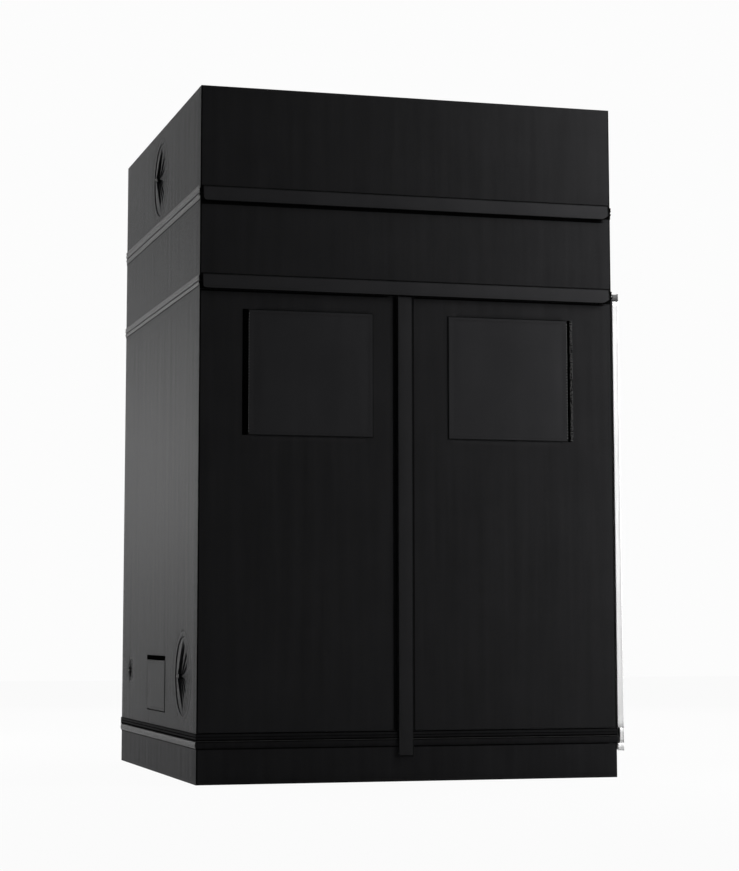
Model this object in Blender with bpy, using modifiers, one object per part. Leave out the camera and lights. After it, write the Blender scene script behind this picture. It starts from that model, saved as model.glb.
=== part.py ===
"""An indoor grow tent: a canvas cabin on a slip-fit steel frame.

Metres, +Z up. The origin is on the ground under the middle of the cabin, and
the front, with its two doors, faces -Y. Run it with
blender --background --python part.py, or from Blender's text editor.
"""

import math

import bmesh
import bpy
from mathutils import Matrix, Vector

# Cabin
WIDTH = 1.52
DEPTH = 1.52
STANDARD_HEIGHT = 2.102
EXTENSION = 0.308
CAP_DEPTH = 0.3825
HEIGHT = STANDARD_HEIGHT + EXTENSION
UPPER_ZIP = HEIGHT - CAP_DEPTH
LOWER_ZIP = UPPER_ZIP - EXTENSION
BASE_ZIP = 0.1455

# Cloth
CANVAS = 0.0015
GAP = 0.0003
OVERRUN = 0.002
CORNER_STEPS = 4
WELD = 0.00005
SHARP_DEGREES = 40

# Frame tubes and their three-way corners
TUBE_DIAMETER = 0.0254
TUBE_WALL = 0.0012
TUBE_SIDES = 16
HUB_ROUNDING = 0.004
STUB_LENGTH = 0.055
STUB_WALL = 0.002
STUB_CHAMFER = 0.0015
SPIGOT_LENGTH = 0.05
SPIGOT_SHOULDER = 0.004

# Hanging bars, clipped on the front and rear top rails
BAR_DIAMETER = 0.019
BAR_WALL = 0.0012
BAR_FROM_MIDDLE = 0.38
CLIP_WALL = 0.003
CLIP_WIDTH = 0.024
CLIP_ARC_DEGREES = 236
CLIP_ARC_STEPS = 12
CLIP_RIVET = 0.005

# Perimeter zips: two rolled hems with the coil in the slot between them
HEM_PROUD = 0.0025
HEM_ROUND = 0.0022
TAPE_PROUD = 0.0008
ZIP_SLOT = 0.003
UPPER_ZIP_LOWER_HEM = 0.0215
LOWER_ZIP_LOWER_HEM = 0.0145
BASE_HEMS = (0.0255, 0.024)

# Storm flaps over the two extension zips
STORM_FLAP = 0.053
STORM_FLAP_OVER_ZIP = 0.0255
STORM_FLAP_INSET = 0.009
FLAP_SEAM = 0.0045
FLAP_LEAN = 0.004
FLAP_CORNER = 0.012
HEM_UNDER_FLAP = STORM_FLAP_OVER_ZIP - FLAP_SEAM - 2 * GAP - ZIP_SLOT / 2

# Doors, which close under the flap over the centre zip
DOOR_CLEARANCE = 0.001
CENTRE_FLAP = 0.056
CENTRE_FLAP_MIDDLE = -0.0225
CENTRE_FLAP_BOTTOM = 0.0865
DOOR_MEETING_GAP = 0.0025

# Windows and their covers
COVER_WIDTH = 0.45
COVER_HEIGHT = 0.438
COVER_FROM_MIDDLE = 0.1375
COVER_UNDER_FLAP = 0.0665
COVER_CORNER = 0.006
WINDOW_MARGIN = 0.022
WINDOW_CORNER = 0.012
PANE = 0.0006
PANE_SEAM = 0.014
HOOK_STRIP = 0.02
HOOK_STRIP_PROUD = 0.0008

# Left wall: screened vent, duct ports and cable port
VENT_WIDTH = 0.37
VENT_HEIGHT = 0.182
VENT_BOTTOM = 0.2255
VENT_MARGIN = 0.018
VENT_CORNER = 0.006
VENT_STRIP = 0.0175
MESH = 0.0005
DUCT_PORT = 0.276
DUCT_HEM = 0.013
DUCT_PROUD = 0.012
DUCT_PLEATS = 18
DUCT_MOUTH = 0.009
UPPER_DUCT_BELOW_ROOF = 0.194
UPPER_DUCT_HEIGHT = HEIGHT - UPPER_DUCT_BELOW_ROOF
LOWER_DUCT_FROM_FRONT = 0.244
LOWER_DUCT_FROM_MIDDLE = DEPTH / 2 - LOWER_DUCT_FROM_FRONT
LOWER_DUCT_HEIGHT = 0.359
CABLE_PORT = 0.078
CABLE_HEM = 0.008
CABLE_PROUD = 0.009
CABLE_PLEATS = 8
CABLE_MOUTH = 0.004
CABLE_FROM_REAR = 0.2
CABLE_FROM_MIDDLE = DEPTH / 2 - CABLE_FROM_REAR
CABLE_HEIGHT = 0.361
PLEAT_STEPS = 4

# Pleated collar: (share of the way in from the rim, share of its height, share of its pleats' depth)
COLLAR_OUTER_SHARES = (
    (0.0, 0.0, 0.0),
    (0.0, 0.18, 0.0),
    (0.1, 0.26, 0.05),
    (0.34, 0.3, 0.3),
    (0.62, 0.42, 0.75),
    (0.86, 0.62, 1.0),
    (0.97, 0.95, 0.6),
    (1.0, 1.0, 0.4),
)
COLLAR_INNER_SHARES = (
    (0.95, 0.55, 0.4),
    (0.8, 0.3, 0.85),
    (0.5, 0.12, 0.45),
    (0.14, 0.02, 0.0),
)
PLEAT_DEPTH_SHARE = 0.2

# Side door, shown a little ajar
SIDE_DOOR_OVER_ZIP = 0.0115
SIDE_DOOR_TOP = LOWER_ZIP + SIDE_DOOR_OVER_ZIP
SIDE_DOOR_BOTTOM = 0.0925
SIDE_DOOR_INSET = 0.003
SIDE_DOOR_AJAR = 0.0225
SIDE_DOOR_HEM = 0.02
SIDE_DOOR_HEM_PROUD = 0.0012

# Centre zip's slider
SLIDER_WIDTH = 0.011
SLIDER_LENGTH = 0.016
SLIDER_PLATE = 0.0007
SLIDER_THROAT = 0.0008
SLIDER_NECK = 0.003
PULL_LENGTH = 0.03
PULL_WIDTH = 0.006
PULL_SLOT = 0.002
SLIDER_CLEARANCE = 0.006

# Removable tray on the floor
TRAY_RIM = 0.05
TRAY_WALL = 0.0012
TRAY_CLEARANCE = 0.0005
TRAY_CORNER = 0.02

PARTS = "grow_tent"
CUTTERS = "cutters"


def wall_frame(right, outward, distance):
    """Turns (along the wall, height, distance out of the wall) into world places."""
    right, up, outward = Vector(right), Vector((0, 0, 1)), Vector(outward)
    turn = Matrix((right, up, outward)).transposed().to_4x4()
    return Matrix.Translation(outward * distance) @ turn


FRONT = wall_frame((1, 0, 0), (0, -1, 0), DEPTH / 2)
BACK = wall_frame((-1, 0, 0), (0, 1, 0), DEPTH / 2)
LEFT = wall_frame((0, -1, 0), (-1, 0, 0), WIDTH / 2)
RIGHT = wall_frame((0, 1, 0), (1, 0, 0), WIDTH / 2)


def clear_scene():
    for old in list(bpy.data.objects):
        bpy.data.objects.remove(old, do_unlink=True)
    for name in (PARTS, CUTTERS):
        old = bpy.data.collections.get(name)
        if old:
            bpy.data.collections.remove(old)
        group = bpy.data.collections.new(name)
        bpy.context.scene.collection.children.link(group)


def material(name, color, roughness, metallic=0.0, alpha=1.0):
    made = bpy.data.materials.new(name)
    made.use_nodes = True
    shader = made.node_tree.nodes["Principled BSDF"]
    shader.inputs["Base Color"].default_value = (*color, 1.0)
    shader.inputs["Roughness"].default_value = roughness
    shader.inputs["Metallic"].default_value = metallic
    shader.inputs["Alpha"].default_value = alpha
    made.diffuse_color = (*color, alpha)
    return made


FINISHES = {
    "canvas": ((0.012, 0.012, 0.013), 0.8, 0.0, 1.0),
    "side_canvas": ((0.05, 0.05, 0.052), 0.8, 0.0, 1.0),
    "flap_canvas": ((0.016, 0.016, 0.017), 0.75, 0.0, 1.0),
    "zip_tape": ((0.02, 0.02, 0.02), 0.6, 0.0, 1.0),
    "mesh": ((0.03, 0.03, 0.03), 0.7, 0.0, 1.0),
    "tube": ((0.85, 0.85, 0.85), 0.35, 0.3, 1.0),
    "corner": ((0.8, 0.8, 0.8), 0.45, 0.3, 1.0),
    "pane": ((0.7, 0.85, 0.75), 0.1, 0.0, 0.35),
    "tray": ((0.03, 0.03, 0.03), 0.6, 0.0, 1.0),
    "slider": ((0.1, 0.1, 0.1), 0.4, 0.8, 1.0),
}


def object_from(name, mesh, group=PARTS):
    made = bpy.data.objects.new(name, mesh)
    bpy.data.collections[group].objects.link(made)
    if group == CUTTERS:
        made.hide_render = True
        made.display_type = "WIRE"
    return made


def mesh_from(name, shape):
    mesh = bpy.data.meshes.new(name)
    shape.to_mesh(mesh)
    shape.free()
    return mesh


def shade_round(part):
    """Smooth shading that breaks at sharp edges."""
    part.data.shade_smooth()
    part.data.set_sharp_from_angle(angle=math.radians(SHARP_DEGREES))
    return part


def dress(part, finish):
    """Gives a part a material of its own."""
    part.data.materials.clear()
    part.data.materials.append(material(part.name, *FINISHES[finish]))
    return part


def hinge_at(name, place, parent=None):
    """An empty on a joint's axis, which the moving pieces are parented to."""
    axis = bpy.data.objects.new(name, None)
    bpy.data.collections[PARTS].objects.link(axis)
    axis.matrix_world = Matrix.Translation(place)
    if parent:
        hang(axis, parent)
    return axis


def hang(part, axis):
    bpy.context.view_layer.update()
    part.parent = axis
    part.matrix_parent_inverse = axis.matrix_world.inverted()


def arc(centre, radius, start, stop, steps):
    turns = [start + (stop - start) * step / steps for step in range(steps + 1)]
    return [
        (centre[0] + radius * math.cos(turn), centre[1] + radius * math.sin(turn))
        for turn in turns
    ]


def rectangle(left, right, bottom, top, corners=(0, 0, 0, 0)):
    """An outline whose four corner radii run from the lower left round to the upper left."""
    quarter = math.pi / 2
    places = ((left, bottom, 1, 1), (right, bottom, -1, 1), (right, top, -1, -1), (left, top, 1, -1))
    outline = []
    for index, ((x, y, inward_x, inward_y), radius) in enumerate(zip(places, corners)):
        if radius:
            centre = (x + inward_x * radius, y + inward_y * radius)
            start = (index + 2) * quarter
            outline += arc(centre, radius, start, start + quarter, CORNER_STEPS)
        else:
            outline.append((x, y))
    return outline


def circle(centre, radius, sides):
    return arc(centre, radius, 0, 2 * math.pi, sides)[:-1]


def slab(name, outlines, low, high, frame, group=PARTS):
    """A flat outline with its holes, from low to high along the frame's third axis."""
    curve = bpy.data.curves.new(f"{name}_outline", "CURVE")
    curve.dimensions = "2D"
    curve.fill_mode = "BOTH"
    curve.extrude = (high - low) / 2
    for outline in outlines:
        spline = curve.splines.new("POLY")
        spline.points.add(len(outline) - 1)
        for point, place in zip(spline.points, outline):
            point.co = (*place, 0, 1)
        spline.use_cyclic_u = True
    drawn = bpy.data.objects.new(curve.name, curve)
    bpy.data.collections[CUTTERS].objects.link(drawn)
    drawn.matrix_world = frame @ Matrix.Translation((0, 0, (low + high) / 2))
    bpy.context.view_layer.update()
    mesh = bpy.data.meshes.new_from_object(drawn.evaluated_get(bpy.context.evaluated_depsgraph_get()))
    shape = bmesh.new()
    shape.from_mesh(mesh)
    bmesh.ops.remove_doubles(shape, verts=shape.verts, dist=WELD)
    bmesh.ops.recalc_face_normals(shape, faces=shape.faces)
    shape.to_mesh(mesh)
    shape.free()
    made = object_from(name, mesh, group)
    made.matrix_world = drawn.matrix_world
    bpy.data.objects.remove(drawn)
    return made


def cut(part, other, operation):
    """Joins, cuts or trims a part by another object, kept as a live modifier."""
    change = part.modifiers.new(operation.lower(), "BOOLEAN")
    change.operation = operation
    change.object = other
    change.solver = "EXACT"
    return part


def settled(part):
    """A part's mesh as its modifiers leave it."""
    bpy.context.view_layer.update()
    return bpy.data.meshes.new_from_object(part.evaluated_get(bpy.context.evaluated_depsgraph_get()))


def cylinder(name, radius, low, high, frame, group=CUTTERS, chamfer=0, sides=TUBE_SIDES):
    """A solid cylinder along the frame's third axis, with a chamfer at its high end."""
    shape = bmesh.new()
    bmesh.ops.create_cone(
        shape,
        cap_ends=True,
        segments=sides,
        radius1=radius,
        radius2=radius,
        depth=high - low,
        matrix=Matrix.Translation((0, 0, (low + high) / 2)),
    )
    if chamfer:
        middle = (low + high) / 2
        rim = [e for e in shape.edges if all(v.co.z > middle for v in e.verts)]
        bmesh.ops.bevel(shape, geom=rim, offset=chamfer, segments=1, affect="EDGES")
    made = object_from(name, mesh_from(name, shape), group)
    made.matrix_world = frame
    return made


def along(start, direction):
    """A frame at start whose third axis runs in the given direction."""
    turn = Vector((0, 0, 1)).rotation_difference(Vector(direction)).to_matrix().to_4x4()
    return Matrix.Translation(start) @ turn


def tube(name, start, direction, length, diameter=TUBE_DIAMETER, wall=TUBE_WALL, group=PARTS):
    """An open-ended tube: an open cylinder with its wall made by Solidify."""
    shape = bmesh.new()
    bmesh.ops.create_cone(
        shape,
        cap_ends=False,
        segments=TUBE_SIDES,
        radius1=diameter / 2,
        radius2=diameter / 2,
        depth=length,
        matrix=Matrix.Translation((0, 0, length / 2)),
    )
    made = object_from(name, mesh_from(name, shape), group)
    made.matrix_world = along(start, direction)
    skin = made.modifiers.new("wall", "SOLIDIFY")
    skin.thickness = wall
    skin.offset = -1
    return shade_round(made)


# Where the frame stands inside the canvas, which touches it at the hubs
TUBE_RADIUS = TUBE_DIAMETER / 2
HUB_HALF = TUBE_RADIUS + CLIP_WALL + 2 * GAP
POST_X = WIDTH / 2 - CANVAS - GAP - HUB_HALF
POST_Y = DEPTH / 2 - CANVAS - GAP - HUB_HALF
FLOOR_RAIL_Z = CANVAS + GAP + HUB_HALF
ROOF_RAIL_Z = HEIGHT - CANVAS - GAP - HUB_HALF
HUB_REACH = HUB_HALF + GAP
STUB_RADIUS = TUBE_RADIUS - TUBE_WALL - GAP
EXTENSION_POST_Z = ROOF_RAIL_Z - HUB_REACH - EXTENSION


def corner_mesh():
    """A three-way corner: a rounded hub with hollow stubs along +X, +Y and +Z."""
    shape = bmesh.new()
    bmesh.ops.create_cube(shape, size=2 * HUB_HALF)
    bmesh.ops.bevel(shape, geom=shape.edges[:], offset=HUB_ROUNDING, segments=2, affect="EDGES")
    hub = object_from("corner_hub", mesh_from("corner_hub", shape), CUTTERS)
    arms = {"x": (1, 0, 0), "y": (0, 1, 0), "z": (0, 0, 1)}
    tip = HUB_HALF + STUB_LENGTH
    for axis, direction in arms.items():
        frame = along((0, 0, 0), direction)
        cut(hub, cylinder(f"stub_{axis}", STUB_RADIUS, 0, tip, frame, chamfer=STUB_CHAMFER), "UNION")
    for axis, direction in arms.items():
        frame = along((0, 0, 0), direction)
        cut(hub, cylinder(f"bore_{axis}", STUB_RADIUS - STUB_WALL, 0, tip + OVERRUN, frame), "DIFFERENCE")
    mesh = settled(hub)
    hub.modifiers.clear()
    return mesh


def corners():
    """Eight copies of one corner, each turned so that its arms point along the tubes."""
    pattern = corner_mesh()
    quarter = math.pi / 2
    for level, height in (("base", FLOOR_RAIL_Z), ("top", ROOF_RAIL_Z)):
        flip = Matrix.Rotation(math.pi, 4, "X") if level == "top" else Matrix()
        turns = {"front_left": 0, "front_right": 1, "rear_right": 2, "rear_left": 3}
        for corner, turn in turns.items():
            x = -POST_X if corner.endswith("left") else POST_X
            y = -POST_Y if corner.startswith("front") else POST_Y
            made = object_from(f"{level}_corner_{corner}", pattern.copy())
            steps = turn + 1 if level == "top" else turn
            spin = Matrix.Rotation(quarter * steps, 4, "Z")
            made.matrix_world = Matrix.Translation((x, y, height)) @ spin @ flip
            dress(shade_round(made), "corner")


def post_with_spigot(name, x, y, bottom, top):
    """A turned post whose upper end is necked down to plug into the tube above."""
    outer, inner = TUBE_RADIUS, TUBE_RADIUS - TUBE_WALL
    neck, bore = STUB_RADIUS, STUB_RADIUS - TUBE_WALL
    shoulder = top - SPIGOT_SHOULDER
    tip = top + SPIGOT_LENGTH
    profile = [
        (bore, tip),
        (neck, tip),
        (neck, top),
        (outer, shoulder),
        (outer, bottom),
        (inner, bottom),
        (inner, shoulder - SPIGOT_SHOULDER),
        (bore, top - SPIGOT_SHOULDER),
    ]
    shape = bmesh.new()
    verts = [shape.verts.new((radius, 0, height)) for radius, height in profile]
    for vert, following in zip(verts, verts[1:] + verts[:1]):
        shape.edges.new((vert, following))
    made = object_from(name, mesh_from(name, shape))
    made.location = (x, y, 0)
    turn = made.modifiers.new("turn", "SCREW")
    turn.steps = TUBE_SIDES
    turn.render_steps = TUBE_SIDES
    turn.use_merge_vertices = True
    turn.use_smooth_shade = True
    turn.merge_threshold = WELD
    return made


def frame_tubes():
    """Posts in two lengths, with rails between the corners at the floor and the roof."""
    for corner in ("front_left", "front_right", "rear_right", "rear_left"):
        x = -POST_X if corner.endswith("left") else POST_X
        y = -POST_Y if corner.startswith("front") else POST_Y
        bottom = FLOOR_RAIL_Z + HUB_REACH
        dress(post_with_spigot(f"post_{corner}", x, y, bottom, EXTENSION_POST_Z - GAP), "tube")
        upper = tube(f"extension_post_{corner}", (x, y, EXTENSION_POST_Z), (0, 0, 1), EXTENSION)
        dress(upper, "tube")
    across, deep = 2 * (POST_X - HUB_REACH), 2 * (POST_Y - HUB_REACH)
    for level, height in (("base", FLOOR_RAIL_Z), ("top", ROOF_RAIL_Z)):
        for side, sign in (("front", -1), ("rear", 1)):
            start = (-across / 2, sign * POST_Y, height)
            dress(tube(f"{level}_rail_{side}", start, (1, 0, 0), across), "tube")
        for side, sign in (("left", -1), ("right", 1)):
            start = (sign * POST_X, -deep / 2, height)
            dress(tube(f"{level}_rail_{side}", start, (0, 1, 0), deep), "tube")


def clip_outline(sign):
    """The open ring of a bar's end clip, seen along the rail, with its mouth upwards."""
    half_open = math.pi - math.radians(CLIP_ARC_DEGREES) / 2
    start, stop = math.pi / 2 + half_open, math.pi / 2 - half_open + 2 * math.pi
    inner = TUBE_RADIUS + GAP
    centre = (sign * POST_Y, ROOF_RAIL_Z)
    outer_arc = arc(centre, inner + CLIP_WALL, start, stop, CLIP_ARC_STEPS)
    inner_arc = arc(centre, inner, stop, start, CLIP_ARC_STEPS)
    return outer_arc + inner_arc


def hanging_bars():
    """Two bars under the roof, each with an open spring clip at both ends that slides along a rail."""
    reach = POST_Y - TUBE_RADIUS / 2
    for side, sign in (("left", -1), ("right", 1)):
        x = sign * BAR_FROM_MIDDLE
        start = (x, -reach, ROOF_RAIL_Z)
        name = f"hanging_bar_{side}"
        pattern = tube(f"{name}_pattern", start, (0, 1, 0), 2 * reach, BAR_DIAMETER, BAR_WALL, CUTTERS)
        sideways = Matrix.Translation((x, 0, 0)) @ Matrix(
            ((0, 0, 1, 0), (1, 0, 0, 0), (0, 1, 0, 0), (0, 0, 0, 1))
        )
        for end, end_sign in (("front", -1), ("rear", 1)):
            rail = along((x - CLIP_WIDTH, end_sign * POST_Y, ROOF_RAIL_Z), (1, 0, 0))
            saddle = cylinder(f"{name}_saddle_{end}", TUBE_RADIUS + CLIP_WALL / 2, 0, 2 * CLIP_WIDTH, rail)
            cut(pattern, saddle, "DIFFERENCE")
            outline = clip_outline(end_sign)
            clip = slab(f"{name}_clip_{end}", [outline], -CLIP_WIDTH / 2, CLIP_WIDTH / 2, sideways, CUTTERS)
            cut(pattern, clip, "UNION")
        through = along((x, -POST_Y, ROOF_RAIL_Z), (0, 1, 0))
        rivet = cylinder(f"{name}_rivet_hole", CLIP_RIVET / 2, 0, 2 * POST_Y, through)
        cut(pattern, rivet, "DIFFERENCE")
        mesh = settled(pattern)
        pattern.modifiers.clear()
        bar = object_from(name, mesh)
        bar.matrix_world = pattern.matrix_world
        shade_round(bar)
        hang(bar, hinge_at(f"{name}_slide", (x, 0, ROOF_RAIL_Z)))
        dress(bar, "tube")


# How far in from the corner a panel that stands between two others ends
TUCK = CANVAS + GAP
DOOR_TOP = LOWER_ZIP + STORM_FLAP_OVER_ZIP - STORM_FLAP - DOOR_CLEARANCE
BASE_RING_TOP = BASE_ZIP + ZIP_SLOT / 2 + BASE_HEMS[0]
DOOR_BOTTOM = BASE_RING_TOP + DOOR_CLEARANCE
SKIRT_TOP = DOOR_BOTTOM - GAP


def flat_panel(name, frame, half_width, bottom, top, finish, holes=()):
    outline = rectangle(-half_width, half_width, bottom, top)
    return dress(slab(name, [outline, *holes], -CANVAS, 0, frame), finish)


def canvas_walls():
    """The fixed walls: the cap's, the extension's and the lower body's."""
    wide, tucked = WIDTH / 2, DEPTH / 2 - TUCK
    duct_hole = DUCT_PORT / 2 - DUCT_HEM
    cap_top = HEIGHT - TUCK
    extension_top, cap_bottom = UPPER_ZIP - GAP / 2, UPPER_ZIP + GAP / 2
    header_bottom = DOOR_TOP + GAP
    body_top, extension_bottom = LOWER_ZIP - GAP / 2, LOWER_ZIP + GAP / 2
    upper_duct = circle((0, UPPER_DUCT_HEIGHT), duct_hole, TUBE_SIDES)
    flat_panel("cap_front", FRONT, wide, cap_bottom, cap_top, "canvas")
    flat_panel("cap_back", BACK, wide, cap_bottom, cap_top, "canvas")
    flat_panel("cap_left", LEFT, tucked, cap_bottom, cap_top, "side_canvas", [upper_duct])
    flat_panel("cap_right", RIGHT, tucked, cap_bottom, cap_top, "side_canvas")
    flat_panel("extension_front", FRONT, wide, header_bottom, extension_top, "canvas")
    flat_panel("extension_back", BACK, wide, extension_bottom, extension_top, "canvas")
    flat_panel("extension_left", LEFT, tucked, extension_bottom, extension_top, "side_canvas")
    flat_panel("extension_right", RIGHT, tucked, header_bottom, extension_top, "side_canvas")
    flat_panel("back_wall", BACK, wide, 0, body_top, "canvas")
    left = flat_panel("left_wall", LEFT, tucked, 0, body_top, "side_canvas", left_wall_holes())
    cut(left, vent_hook_strip(), "UNION")
    flat_panel("skirt_front", FRONT, wide, 0, SKIRT_TOP, "canvas")
    flat_panel("skirt_right", RIGHT, tucked, 0, SKIRT_TOP, "side_canvas")


def left_wall_holes():
    """The duct, cable and vent holes; the wall's first axis runs towards the front."""
    half_vent = VENT_WIDTH / 2 - VENT_MARGIN
    vent_top = VENT_BOTTOM + VENT_HEIGHT - VENT_MARGIN
    return [
        circle((LOWER_DUCT_FROM_MIDDLE, LOWER_DUCT_HEIGHT), DUCT_PORT / 2 - DUCT_HEM, TUBE_SIDES),
        circle((-CABLE_FROM_MIDDLE, CABLE_HEIGHT), CABLE_PORT / 2 - CABLE_HEM, TUBE_SIDES),
        rectangle(-half_vent, half_vent, VENT_BOTTOM + VENT_MARGIN, vent_top),
    ]


def vent_hook_strip():
    """The strip over the vent that its cover's free edge presses onto, raised out of the wall."""
    half, top = VENT_WIDTH / 2, VENT_BOTTOM + VENT_HEIGHT
    strip = rectangle(-half, half, top + GAP, top + VENT_STRIP)
    return slab("vent_hook_strip", [strip], -CANVAS / 2, HOOK_STRIP_PROUD, LEFT, CUTTERS)


def roof_and_floor():
    level = Matrix()
    roof = rectangle(-WIDTH / 2, WIDTH / 2, -DEPTH / 2, DEPTH / 2)
    dress(slab("roof_panel", [roof], HEIGHT - CANVAS, HEIGHT, level), "canvas")
    x, y = WIDTH / 2 - TUCK, DEPTH / 2 - TUCK
    floor = rectangle(-x, x, -y, y)
    dress(slab("floor_panel", [floor], 0, CANVAS, level), "canvas")


def spill_tray():
    """A shallow tray that drops in between the corners' hubs: an open box with a thick wall."""
    inside = HUB_HALF + TRAY_CLEARANCE
    x, y = POST_X - inside, POST_Y - inside
    bottom = CANVAS + GAP
    shape = bmesh.new()
    size = Matrix.Diagonal((2 * x, 2 * y, TRAY_RIM, 1))
    lift = Matrix.Translation((0, 0, bottom + TRAY_RIM / 2))
    bmesh.ops.create_cube(shape, size=1, matrix=lift @ size)
    lid = [f for f in shape.faces if f.normal.z > 0.5]
    bmesh.ops.delete(shape, geom=lid, context="FACES_ONLY")
    upright = [e for e in shape.edges if abs(e.verts[0].co.z - e.verts[1].co.z) > TRAY_RIM / 2]
    bmesh.ops.bevel(shape, geom=upright, offset=TRAY_CORNER, segments=3, affect="EDGES", profile=0.5)
    made = object_from("spill_tray", mesh_from("spill_tray", shape))
    skin = made.modifiers.new("wall", "SOLIDIFY")
    skin.thickness = TRAY_WALL
    skin.offset = -1
    skin.use_even_offset = True
    dress(made, "tray")


def zip_profile(upper, lower):
    """A perimeter zip's section, as (distance out of the wall, height over the zip)."""
    slot = ZIP_SLOT / 2
    outer = [
        (0, upper + slot),
        (HEM_PROUD, upper + slot - HEM_ROUND),
        (HEM_PROUD, slot + HEM_ROUND),
        (TAPE_PROUD, slot),
        (TAPE_PROUD, -slot),
        (HEM_PROUD, -slot - HEM_ROUND),
        (HEM_PROUD, -slot - lower + HEM_ROUND),
        (0, -slot - lower),
    ]
    return [(GAP + out, height) for out, height in outer]


def loft(name, loops, finish):
    """A closed skin through loops of equal counts, whose last loop meets the first again."""
    shape = bmesh.new()
    rows = [[shape.verts.new(place) for place in loop] for loop in loops]
    for row, following in zip(rows, rows[1:] + rows[:1]):
        for index in range(len(row)):
            after = (index + 1) % len(row)
            shape.faces.new((row[index], row[after], following[after], following[index]))
    bmesh.ops.recalc_face_normals(shape, faces=shape.faces)
    return dress(shade_round(object_from(name, mesh_from(name, shape))), finish)


def perimeter_zips():
    """Three zips that run right round the cabin, each swept along its four walls."""
    zips = {
        "zip_upper": (UPPER_ZIP, (HEM_UNDER_FLAP, UPPER_ZIP_LOWER_HEM)),
        "zip_lower": (LOWER_ZIP, (HEM_UNDER_FLAP, LOWER_ZIP_LOWER_HEM)),
        "zip_base": (BASE_ZIP, BASE_HEMS),
    }
    for name, (level, hems) in zips.items():
        loops = []
        for out, height in zip_profile(*hems):
            x, y = WIDTH / 2 + out, DEPTH / 2 + out
            ring = rectangle(-x, x, -y, y, (out, out, out, out))
            loops.append([(px, py, level + height) for px, py in ring])
        loft(name, loops, "zip_tape")


def pleated_port(name, frame, centre, diameter, proud, pleats, mouth):
    """A duct sock drawn shut: radial pleats that deepen towards a small puckered mouth."""
    rim = diameter / 2
    steps = pleats * PLEAT_STEPS
    depth = proud * PLEAT_DEPTH_SHARE
    loops = []
    for inward, height, pleat in COLLAR_OUTER_SHARES + COLLAR_INNER_SHARES:
        radius = rim + (mouth - rim) * inward
        loop = []
        for step in range(steps):
            turn = 2 * math.pi * step / steps
            wave = math.cos(pleats * turn) * depth * pleat
            out = GAP + proud * height + wave + depth * pleat
            side = Vector((centre[0] + radius * math.cos(turn), centre[1] + radius * math.sin(turn), out))
            loop.append(frame @ side)
        loops.append(loop)
    return loft(name, loops, "side_canvas")


def ports():
    duct = (DUCT_PORT, DUCT_PROUD, DUCT_PLEATS, DUCT_MOUTH)
    pleated_port("duct_port_upper", LEFT, (0, UPPER_DUCT_HEIGHT), *duct)
    pleated_port("duct_port_lower", LEFT, (LOWER_DUCT_FROM_MIDDLE, LOWER_DUCT_HEIGHT), *duct)
    cable = (CABLE_PORT, CABLE_PROUD, CABLE_PLEATS, CABLE_MOUTH)
    pleated_port("cable_port", LEFT, (-CABLE_FROM_MIDDLE, CABLE_HEIGHT), *cable)


def side_vent():
    """A screened vent in the left wall with a cover that peels down from its hook strip."""
    half = VENT_WIDTH / 2
    top = VENT_BOTTOM + VENT_HEIGHT
    inner = rectangle(
        -half + VENT_MARGIN / 2, half - VENT_MARGIN / 2, VENT_BOTTOM + VENT_MARGIN / 2, top - VENT_MARGIN / 2
    )
    screen = slab("vent_mesh", [inner], -CANVAS - GAP - MESH, -CANVAS - GAP, LEFT)
    dress(screen, "mesh")
    outline = rectangle(-half, half, VENT_BOTTOM, top, (0, 0, VENT_CORNER, VENT_CORNER))
    cover = dress(slab("vent_cover", [outline], GAP, GAP + CANVAS, LEFT), "flap_canvas")
    hang(cover, hinge_at("vent_cover_hinge", LEFT @ Vector((0, VENT_BOTTOM, GAP + CANVAS))))


def storm_flaps():
    """Two rain flaps over the extension zips, hinged at their upper seam."""
    half = WIDTH / 2 - STORM_FLAP_INSET
    for name, level in (("storm_flap_upper", UPPER_ZIP), ("storm_flap_lower", LOWER_ZIP)):
        top = level + STORM_FLAP_OVER_ZIP
        bottom = top - STORM_FLAP
        inner = 2 * GAP + HEM_PROUD
        lean = inner + FLAP_LEAN
        section = [
            (GAP, top),
            (GAP, top - FLAP_SEAM),
            (inner, top - FLAP_SEAM - inner / 2),
            (lean, bottom),
            (lean + CANVAS, bottom),
            (inner + CANVAS, top - FLAP_SEAM),
            (inner + CANVAS, top),
        ]
        endways = FRONT @ Matrix(((0, 0, 1, 0), (0, 1, 0, 0), (-1, 0, 0, 0), (0, 0, 0, 1)))
        drawn = [(-out, height) for out, height in section]
        flap = slab(name, [drawn], -half, half, endways)
        front = rectangle(-half, half, bottom, top, (FLAP_CORNER, FLAP_CORNER, 0, 0))
        trim = slab(f"{name}_outline", [front], 0, lean + CANVAS + OVERRUN, FRONT, CUTTERS)
        cut(flap, trim, "INTERSECT")
        dress(flap, "flap_canvas")
        hang(flap, hinge_at(f"{name}_hinge", FRONT @ Vector((0, top, inner + CANVAS))))


FLAP_EDGE_X = CENTRE_FLAP_MIDDLE - CENTRE_FLAP / 2
FLAP_SEAM_X = CENTRE_FLAP_MIDDLE + CENTRE_FLAP / 2
FLAP_INNER = 2 * GAP + HEM_PROUD
FLAP_OUTER = FLAP_INNER + CANVAS
COVER_TOP = DOOR_TOP + DOOR_CLEARANCE - COVER_UNDER_FLAP
COVER_BOTTOM = COVER_TOP - COVER_HEIGHT


def span(one, other):
    return min(one, other), max(one, other)


def window_opening(sign, margin):
    """The window's outline, the given margin inside its cover's edge."""
    near, far = COVER_FROM_MIDDLE + margin, COVER_FROM_MIDDLE + COVER_WIDTH - margin
    return *span(sign * near, sign * far), COVER_BOTTOM + margin, COVER_TOP - margin


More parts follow.
